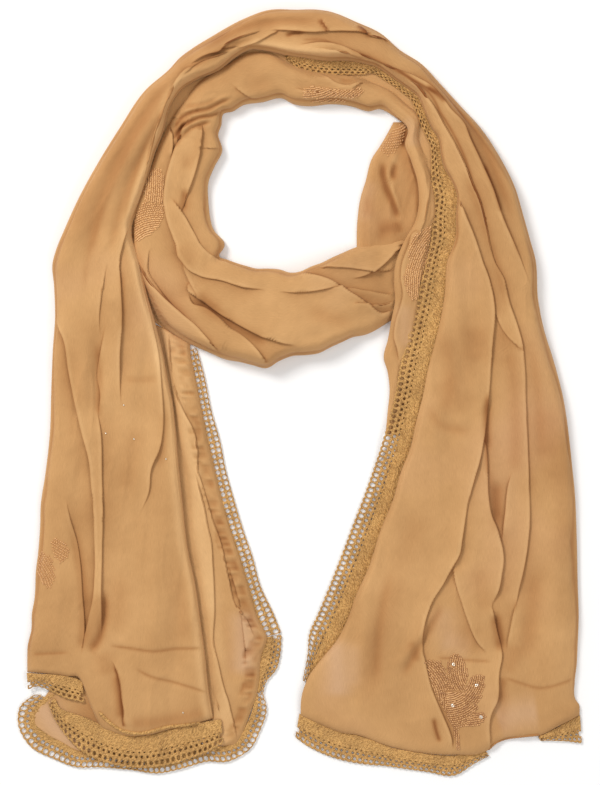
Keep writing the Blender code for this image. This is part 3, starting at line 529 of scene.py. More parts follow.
# The outer arch: two tails and the crown between them. Its rows go across it from the outline to the
# inner line.
outerArch = {
    "seed": 11,
    "wall": 0.8,
    "columns": 200,
    "crownColumns": 92,
    "wrinkle": 1.15,
    "rowStep": 3.2,
    "crownRowStep": 2.4,
    "endFall": 9,
    # rows stand closer past this way down a tail, where the creases run across, over this reach and by
    # this much
    "closerAtHems": (360, 24, 1.1),
    # where the tails begin to bend to their hems' lines
    "spreadLevel": 600,
    "leftHem": (
        (25, 673), (46, 675), (66, 678), (80, 682), (90, 708), (100, 728), (112, 734), (128, 738),
        (148, 737), (165, 733), (185, 729), (214, 720),
    ),
    "rightHem": (
        (299, 717), (326, 729), (342, 735), (356, 737), (387, 748), (428, 756), (456, 757), (488, 753),
        (499, 744), (525, 739), (540, 738), (560, 728), (582, 717),
    ),
    "outline": (
        (26, 726), (26, 700), (26.5, 680), (28.3, 666), (29.8, 656), (30.4, 645), (30.4, 632), (31, 620),
        (32.3, 609), (34, 591), (34.5, 574), (37, 553), (39, 526), (39.6, 505), (44, 476), (49, 430),
        (50, 396), (51.7, 350), (54, 317), (53, 285), (51.5, 263), (54.5, 251), (63, 230), (78, 197),
        (99, 159), (119, 127), (145, 89), (170, 67), (179, 57), (191, 48), (212, 35), (243, 18), (268, 9),
        (300, 8.3), (311, 8), (329, 10), (357, 21), (382, 33), (399, 48), (422, 63), (440, 82), (461, 105),
        (482, 128), (501, 157), (516, 187), (524, 214), (531, 239), (537, 262), (539, 298), (545, 329),
        (554, 358), (564, 396), (570.6, 440), (573, 463), (576, 492), (578, 538), (579, 583), (580, 620),
        (579, 650), (578, 672), (576, 690), (577, 710), (580, 716), (581, 730),
    ),
    "innerLine": (
        (213, 726), (208, 690), (205, 660), (200, 620), (195, 585), (187, 545), (182, 499), (178, 460),
        (175, 425), (172, 400), (168, 382), (162, 350), (155, 322), (147, 294), (140, 262), (136, 250),
        (132, 237), (132, 226), (136, 214), (147, 182), (155, 153), (164, 130), (170, 107), (182, 89),
        (197, 80), (220, 70), (235, 58), (243, 53), (250, 50), (266, 51), (285, 55), (305, 58), (326, 61),
        (349, 61), (365, 64), (376, 67), (387, 74), (398, 82), (408, 89), (417, 96), (425, 113), (432, 129),
        (438, 138), (441, 155), (444, 168), (451, 180), (457, 196), (456, 212), (455, 240), (447, 262),
        (445, 291), (441, 317), (434, 346), (428, 369), (422, 400), (417, 419), (409, 453), (402, 470),
        (394, 498), (380, 533), (369, 568), (357, 594), (346, 623), (333, 646), (326, 655), (317, 668),
        (309.5, 681), (305.5, 692), (302, 705), (300.8, 716), (300.6, 726),
    ),
    # along, height, the inner edge's lip
    "section": (
        (-464, 7.5, 3.4), (-420, 10.5, 3.8), (-360, 12, 4.6), (-300, 13, 5), (-240, 14, 5.2),
        (-180, 15, 5.4), (-120, 16, 6.4), (-60, 18, 10.4), (0, 19, 10.4), (60, 21, 10), (120, 23, 10),
        (180, 25, 10), (240, 26, 10), (300, 27, 10), (335, 28, 11.5), (361, 28, 11.7), (421, 28, 11.7),
        (481, 27, 11.7), (542, 25, 11.7), (602, 23, 11.7), (662, 21, 11.7), (722, 19, 11.7),
        (782, 18, 11.7), (842, 16, 11.7), (902, 14, 6), (962, 13, 2.7), (1022, 12, 2.6), (1082, 11, 2.6),
        (1142, 9.5, 2.6), (1190, 7, 2.6),
    ),
    "lips": (
        # rise, roll, reach, side that lies on top, places, its fade at the ends and the strength of its
        # painted shade
        (3, 6, 30, "east", ((52, 300), (55, 319), (65, 342), (69, 369), (75, 400), (82, 430), (90, 463),
         (92, 486), (94, 509), (95, 532), (95, 578), (93, 600), (89, 618), (85, 635), (80, 659)), (20, 40)),
        (2.4, 5, 24, "east", ((106, 322), (101, 354), (98, 377), (101, 394), (98, 418)), (34, 16)),
        (2.6, 6, 26, "west", ((97, 404), (101, 434), (102, 480), (103, 514), (102, 549), (101, 595),
         (102, 640)), 30),
        (2.6, 5, 24, "west", ((132, 224), (124, 243), (120, 262), (121, 285), (122, 329), (120, 354),
         (120, 377), (122, 412)), (26, 50)),
        (2.8, 6, 24, "west", ((136, 252), (142, 272), (146, 294), (152, 319), (158, 350), (161, 384),
         (163, 425), (159, 450), (151, 469), (149, 492), (136, 522)), (30, 60)),
        (2, 4, 16, "west", ((109, 262), (104, 284), (100, 310), (101, 340)), (30, 40)),
        (2, 4.5, 22, "west", ((66, 495), (70, 518), (77, 544), (80, 565), (82, 595), (84, 629), (81, 656)),
         (30, 24)),
        # crown
        (3.4, 4.5, 18, "out", ((268, 33), (280, 32), (296, 33), (309, 34), (344, 33), (360, 34), (372, 38),
         (387, 42), (404, 52)), (16, 24)),
        (2.6, 4, 16, "in", ((296, 47), (320, 45), (337, 47), (353, 53), (372, 61), (392, 70), (415, 79),
         (432, 89), (441, 99), (449, 110), (463, 125), (469, 142), (480, 166), (489, 187), (497, 209),
         (507, 231), (521, 262), (532, 290)), (24, 60), 1.4),
        (1.8, 3.5, 12, "in", ((463, 124), (469, 142), (480, 166), (489, 187), (497, 209), (507, 231)),
         (34, 34), 1.3),
        (2.4, 4, 15, "in", ((401, 78), (415, 86), (426, 99), (434, 110), (446, 131), (459, 155), (470, 180),
         (480, 203), (486, 226), (494, 262), (503, 279), (508, 302), (516, 325), (522, 346), (524, 369),
         (525, 400), (527, 440), (529, 497), (529, 526), (527, 549), (523, 572), (519, 589), (515, 620)),
         (24, 40), 1.25),
        (2.6, 4, 15, "in", ((450, 172), (457, 195), (464, 214), (472, 233), (482, 262), (489, 281),
         (493, 300), (494, 316), (492, 338), (491, 358), (489, 386), (487, 410), (484, 435), (479, 461),
         (471, 490), (466, 512), (462, 538), (459, 555), (453, 566), (443, 584), (432, 602), (425, 621),
         (422, 641), (425, 662), (432, 690), (441, 712), (450, 734), (454, 750)), (24, 12), 1.2),
        (2, 4, 14, "east", ((493, 309), (503, 331), (512, 342), (524, 352)), (14, 12)),
        (1.6, 3, 12, "in", ((310, 49), (345, 55), (372, 66), (395, 78)), 24),
        (2, 3, 9, "out", ((206, 56), (218, 53), (228, 46), (240, 40), (250, 36), (262, 33)), (12, 8)),
        (2.2, 3, 9, "out", ((236, 51), (250, 47), (260, 43), (270, 37), (282, 32.5)), (10, 8)),
        (2, 3, 9, "out", ((190, 67), (204, 58), (216, 53.5), (228, 50), (240, 48)), (10, 8)),
        (1.8, 2.8, 8, "out", ((184, 78), (196, 67), (208, 61), (220, 57), (232, 53)), (10, 8)),
        (1.6, 2.5, 10, "east", ((320, 20), (324, 27), (328, 33)), (5, 4)),
        (1.8, 2.5, 10, "east", ((357, 25), (364, 31), (370, 39)), (5, 4)),
        # the left tail's lobe at its hem
        (1.5, 4.5, 22, "east", ((111, 660), (116, 668), (120, 682), (122, 698), (124, 712), (122, 728)),
         (10, 6)),
        # left shoulder: the light ridge beside the dark strip
        (2.4, 4, 12, "east", ((198, 64), (187, 71), (178, 81), (170, 97), (162, 117), (154, 140), (149, 160),
         (145, 180), (140, 200)), (16, 44)),
        # right tail
        (3.2, 5, 22, "west", ((484, 428), (487, 463), (488, 497), (491, 515), (497, 529), (501, 543),
         (503, 555), (501, 578), (498, 592), (490, 610)), 24),
        (2.6, 5, 24, "east", ((512, 470), (508, 486), (505, 515), (501, 545)), (18, 24)),
        (3, 5, 20, "west", ((491, 600), (497, 631), (502, 654), (499, 673), (497, 702), (491, 715),
         (491, 752)), (18, 12)),
        (2.4, 5, 20, "east", ((517, 596), (512, 622), (506, 652)), (20, 14)),
        (2.4, 4.5, 22, "east", ((452, 566), (456, 583), (462, 603), (469, 624), (478, 643), (488, 655)),
         (12, 14)),
    ),
    # rise, width, places, and its fade
    "ridges": (
        (-3.2, 4.5, ((103, 588), (104, 612), (99, 638), (88, 654)), (16, 10)),
        (-2, 2.2, ((284, 38.5), (293, 35.5), (305, 35)), 6),
        (-2.6, 4.5, ((488, 395), (487, 425), (488, 455)), 16),
        (-3, 6, ((497, 478), (497, 505), (499, 527)), 14),
        (-3, 4.5, ((494, 612), (500, 640), (500, 655)), 10),
        (-2, 5, ((70, 512), (79, 560), (84, 597), (84, 625), (80, 654)), (40, 14)),
        (-2.2, 10, ((455, 108), (478, 146), (492, 178), (505, 215)), 30),
        (2, 10, ((75, 300), (84, 360), (90, 420), (97, 470)), 60),
        (1.3, 7, ((158, 84), (130, 124), (104, 168), (82, 222), (68, 275)), (40, 50)),
        (-1.2, 5, ((172, 80), (146, 116), (118, 164), (97, 215), (86, 268)), (30, 40)),
        (1.1, 5, ((178, 88), (160, 112), (136, 152), (116, 200), (104, 250), (100, 290)), (30, 40)),
        (-1.1, 4, ((166, 112), (148, 146), (130, 186), (116, 230), (110, 262)), (24, 30)),
        (1.4, 5, ((150, 160), (138, 186), (128, 216), (122, 240)), (16, 20)),
        (1.6, 5, ((222, 34), (250, 22), (284, 18), (330, 19)), (24, 30)),
        (-1.4, 4.5, ((204, 50), (226, 38), (254, 27), (286, 24), (326, 25)), (20, 24)),
        (1.5, 3.2, ((196, 62), (212, 53), (230, 45), (250, 39)), 12),
        (-1.6, 2.8, ((190, 72), (204, 62), (222, 53), (240, 46), (258, 40)), 12),
        (1.4, 3, ((188, 78), (202, 67), (220, 57), (240, 50)), 12),
        (1.4, 5, ((420, 74), (448, 104), (470, 138), (488, 172), (504, 210)), (24, 40)),
        (-1.5, 4.5, ((436, 84), (462, 114), (486, 152), (502, 190), (516, 232)), (24, 40)),
        (1.5, 5, ((440, 118), (460, 150), (474, 184), (486, 222), (498, 262)), (24, 40)),
        (-1.4, 4.5, ((462, 170), (476, 204), (488, 240), (500, 280), (508, 320)), (24, 40)),
        (1.3, 6, ((510, 250), (524, 300), (536, 350), (545, 400)), (40, 50)),
        (-1.3, 6, ((528, 330), (536, 380), (540, 430), (541, 480)), (40, 50)),
        (1.8, 10, ((150, 520), (152, 560), (156, 610), (160, 650)), (40, 30)),
        (2, 12, ((440, 320), (450, 370), (440, 420), (424, 470)), 50),
        (-1.8, 11, ((466, 300), (468, 350), (464, 400)), 40),
        (-1.8, 12, ((545, 380), (550, 440), (550, 500)), 50),
        (1.6, 14, ((552, 520), (553, 570), (550, 630)), 40),
        (-1.6, 12, ((420, 500), (408, 540), (394, 590)), 40),
        (1.6, 12, ((395, 560), (380, 610), (366, 660)), 40),
        (-1.4, 10, ((536, 560), (532, 610), (528, 660)), 30),
        (1.8, 5, ((437, 609), (422, 632), (406, 655), (392, 672)), (12, 16)),
        (-1.6, 4, ((444, 604), (430, 628), (415, 655), (402, 680)), (12, 16)),
        (1.4, 6, ((374, 566), (367, 600), (363, 640), (362, 680)), (30, 24)),
        (-1.2, 5, ((392, 566), (384, 600), (378, 640), (376, 690)), (30, 24)),
        (1.3, 6, ((356, 640), (354, 670), (352, 700)), (16, 14)),
        (-1.4, 3, ((433.5, 717), (436, 730), (440.5, 744)), (5, 6)),
        # cross creases
        (-0.5, 2, ((107, 646), (130, 649), (153, 652), (175, 650), (205, 649)), (14, 8)),
        (0.4, 3.6, ((107, 641), (130, 644), (153, 647), (175, 645), (205, 644)), (14, 8)),
        (-0.5, 2, ((134, 668), (150, 677), (172, 683), (193, 689), (207, 694)), (14, 8)),
        (0.3, 3.6, ((134, 663), (150, 672), (172, 678), (193, 684), (207, 689)), (14, 8)),
        (-0.5, 2.2, ((31, 654), (50, 653), (71, 652)), (6, 10)),
        (-0.8, 3.5, ((123, 380), (140, 380), (160, 379)), 8),
        (-0.5, 2.2, ((503, 678), (520, 684), (539, 689), (560, 685), (577, 679)), (10, 8)),
        (-0.5, 2.2, ((434, 657), (460, 660), (493, 662)), (10, 8)),
        (-1, 5, ((426, 404), (440, 424), (458, 430), (476, 431)), (14, 16)),
        (1, 7, ((430, 396), (446, 414), (462, 420), (478, 421)), (14, 16)),
    ),
    # side, first and last place along it, height there as shares of its own, how deep, and how tall a share
    "sideCreases": (
        ('near', -440, -240, 0.45, 0.7, 0.9, 0.16), ('near', -330, -50, 0.75, 0.42, 1, 0.14),
        ('near', -150, 90, 0.36, 0.72, 1.3, 0.12), ('near', -20, 210, 0.8, 0.5, 1.2, 0.1),
        ('near', 90, 330, 0.42, 0.66, 1.5, 0.1), ('near', 230, 470, 0.78, 0.55, 1.4, 0.09),
        ('near', 330, 560, 0.36, 0.6, 1.5, 0.1), ('near', 450, 650, 0.7, 0.84, 1.2, 0.08),
        ('near', 560, 800, 0.6, 0.4, 1.4, 0.11), ('near', 690, 930, 0.78, 0.55, 1.2, 0.12),
        ('near', 860, 1060, 0.45, 0.7, 1, 0.15), ('near', 980, 1170, 0.72, 0.45, 0.9, 0.16),
        ('far', 40, 260, 0.72, 0.56, 1, 0.1), ('far', 180, 420, 0.58, 0.8, 1.1, 0.09),
        ('far', 360, 600, 0.76, 0.58, 1.1, 0.09), ('far', 520, 720, 0.62, 0.82, 0.9, 0.1),
    ),
    # painted light that lifts the shade of the steep slope by the inner edge: first and last place along it,
    # how much lighter, and how far in
    "paintedSlopeLight": ((40, 430, 0.46, 5), (-130, 80, 0.45, 4.5), (-504, -60, 0.34, 5)),
    # painted shade along folds and gaps, or painted light where the strength is below zero: strength, width,
    # places, and its fade
    "paintedTones": (
        (0.25, 24, ((60, 250), (90, 190), (135, 120), (190, 62), (250, 24), (320, 14), (380, 40)), 40),
        (0.46, 3.6, ((97, 340), (99, 362), (100, 384), (99, 420)), (16, 12)),
        (0.42, 3.2, ((121, 270), (123, 300), (122, 336)), (12, 16)),
        (0.32, 5, ((166, 408), (163, 440), (157, 468)), 12),
        (0.7, 2.3, ((487, 390), (486, 420), (486, 452), (488, 478)), (12, 8)),
        (0.22, 7, ((93, 588), (95, 618), (87, 648)), 14),
        (0.34, 5, ((495, 612), (499, 634), (500, 650)), 8),
        # painted shade in the left tail's lobe, the notches of the crown and the gaps of the right arch
        (0.9, 1.8, ((113, 664), (117, 674), (119.5, 686), (121, 702), (122.5, 716), (124, 728)), (8, 3)),
        (0.5, 4.2, ((116, 672), (118, 690), (119.5, 706), (120, 720)), (8, 6)),
        (0.85, 2.2, ((318, 21), (323, 28), (328, 34)), (4, 3)),
        (0.95, 2.8, ((357, 26), (363, 32), (371, 39)), (4, 3)),
        (0.95, 2.6, ((481, 160), (488, 178), (495, 197), (500, 214)), (12, 6)),
        (0.6, 1.8, ((464, 126), (472, 144), (482, 166)), (12, 8)),
        (0.5, 1.6, ((500, 214), (510, 236), (520, 262)), (8, 20)),
        (0.85, 2.6, ((424, 87), (435, 95), (446, 105)), (6, 5)),
        (0.55, 1.9, ((284, 38.5), (293, 35.5), (310, 34.5)), (5, 8)),
        (0.7, 1.5, ((343, 50), (370, 60), (400, 75), (423, 88), (440, 98)), (14, 10)),
        (0.64, 1.5, ((380, 66), (410, 81), (430, 97), (443, 122)), 14),
        (0.62, 1.5, ((436, 108), (452, 134), (466, 164), (474, 192)), 14),
        (0.34, 10, ((448, 694), (454, 708), (462, 722)), (10, 6)),
        (0.3, 7, ((446, 682), (450, 700)), 6),
        (0.4, 1.2, ((300, 42), (322, 42), (343, 50)), 8),
        (0.34, 3.4, ((190, 83), (202, 74), (216, 67), (230, 60)), (6, 8)),
        (0.22, 3.5, ((158, 106), (136, 140), (116, 180), (100, 222), (92, 262)), (24, 30)),
        (0.24, 2.6, ((176, 96), (158, 124), (142, 158), (130, 196), (124, 232)), (20, 24)),
        (0.2, 3, ((106, 200), (96, 232), (88, 262), (84, 296)), (16, 24)),
        # painted light on the left shoulder's shaded inner slope
        (-0.34, 6, ((194, 78), (182, 98), (173, 122), (165, 146), (158, 172)), (12, 20)),
        (0.46, 1.5, ((206, 72), (196, 84), (186, 97), (178, 112)), (8, 10)),
        # soft painted shades of the tails' planes
        (0.2, 13, ((476, 322), (480, 345), (478, 366)), 12),
        (0.16, 14, ((440, 376), (456, 398), (466, 416)), 12),
        (0.18, 16, ((540, 404), (548, 432), (552, 462)), 14),
        (0.16, 10, ((66, 330), (74, 370), (84, 420)), 24),
        (0.16, 10, ((138, 420), (132, 460), (124, 500)), 20),
        (0.2, 12, ((402, 560), (388, 610), (372, 660), (368, 720)), 40),
        (0.2, 10, ((474, 560), (482, 590), (488, 620)), 20),
        (0.22, 9, ((536, 560), (530, 620), (522, 668)), (30, 20)),
        (0.18, 14, ((560, 420), (566, 500), (566, 580)), 50),
        (0.18, 10, ((118, 560), (120, 600), (114, 640)), (30, 20)),
        (0.16, 12, ((176, 560), (184, 610), (188, 650)), (30, 20)),
        (0.24, 7, ((441, 326), (448, 356), (450, 390), (438, 420)), (24, 20)),
        (0.3, 8, ((510, 350), (514, 392), (516, 440), (514, 480)), 20),
        (0.26, 9, ((498, 322), (506, 346), (512, 372)), 14),
        # painted shade in the right tail's small slits, and its warm painted shades
        (0.78, 1.9, ((433.5, 717), (436, 730), (440.5, 744)), (6, 5)),
        (0.45, 4, ((504, 676), (502, 690), (499, 706)), (6, 8)),
        (0.36, 5, ((411, 640), (414, 650), (418, 664)), (5, 6)),
        (0.42, 1.2, ((107, 645), (130, 648), (153, 651), (175, 649), (204, 648)), (12, 3)),
        (0.34, 1.3, ((204, 647), (205, 664), (206, 680), (208, 692)), (3, 6)),
        (0.36, 1.2, ((134, 668), (150, 676), (172, 682), (193, 688), (208, 693)), (10, 4)),
        (0.36, 7, ((128, 724), (150, 723), (180, 719), (208, 713)), 8),
        (0.24, 10, ((100, 650), (105, 664), (108, 678)), 8),
        (0.14, 14, ((470, 622), (468, 640), (462, 654)), (10, 8)),
        (0.34, 1.3, ((434, 657), (460, 660), (493, 662)), (10, 8)),
        (0.3, 1.3, ((503, 677), (520, 683), (539, 688), (560, 684), (577, 678)), (10, 8)),
        (0.3, 1.3, ((31, 655), (50, 654), (71, 653)), (6, 10)),
        (0.3, 5, ((489, 470), (493, 505), (498, 535)), 12),
        (0.22, 7, ((516, 642), (513, 660), (508, 676)), 8),
        (0.2, 6, ((504, 689), (503, 712), (502, 735)), 8),
    ),
    "veils": (
        (0.32, 13, ((442, 604), (446, 630), (452, 652)), (12, 10)),
        (0.75, 12, ((333, 636), (337, 664), (338, 700)), (14, 10)),
        (0.35, 8, ((352, 640), (354, 668), (352, 690)), (14, 10)),
        (0.65, 15, ((496, 722), (514, 716), (540, 712)), 6),
        (0.3, 12, ((440, 640), (458, 648), (474, 652)), 10),
    ),
}


# Values at the places asked, from rows whose first number is a place.
def table(at, rows):
    rows = np.asarray(rows, float)
    return smoothBetween(at, rows[:, 0], rows[:, 1:])


# Rows of numbers. A row may leave out its last ones where they are those of the row before.
def filledRows(rows):
    filled = []
    for row in rows:
        filled.append([*row, *(filled[-1][len(row):] if filled else ())])
    return np.array(filled, float)


# Below the level where the tails spread, sections bend to follow the hem's line.
def hemBend(points, startLevel, lowestLevel):
    knots = onTable(points)
    start = layoutCorner[1] - startLevel
    lowest = layoutCorner[1] - lowestLevel

    def bend(plan):
        share = np.clip((start - plan[..., 1]) / (start - lowest), 0.0, 1.0)
        line = smoothBetween(plan[..., 0].ravel(), knots[:, 0], knots[:, 1]).reshape(share.shape)
        level = np.where(share > 0, start + share * (line - start), plan[..., 1])
        return np.stack([plan[..., 0], level], axis=-1)

    return bend


leftHem = hemBend(outerArch["leftHem"], outerArch["spreadLevel"], 726)
rightHem = hemBend(outerArch["rightHem"], outerArch["spreadLevel"], 730)


def bothHems(plan):
    return np.where(plan[..., :1] < 0, leftHem(plan), rightHem(plan))


def arrangeOuter(spec, first, last, rowStep, cols, endFall):
    outAt, outBy = routeOf(spec["outline"])
    inAt, inBy = routeOf(spec["innerLine"])
    fromLevel, reach, much = spec["closerAtHems"]
    along = crowdedRun(first, last, rowStep, lambda at: 1 + much * smoothStep(
        (np.maximum(-at, at - archLength) - fromLevel) / reach))
    outer = onRoute(along, smoothBetween(along, outAt, outBy)[:, 0])
    inner = onRoute(along, smoothBetween(along, inAt, inBy)[:, 0])
    height, lip = table(along, spec["section"]).T
    near = edgeRows(len(along), 0.9, 0, 12, 1.2, 0.6)
    far = edgeRows(len(along), lip + 1.3, 0, 6.5, 11, lip)
    return clothStretch(spec, outer, inner, along, height, near, far, endFall, cols, bothHems)


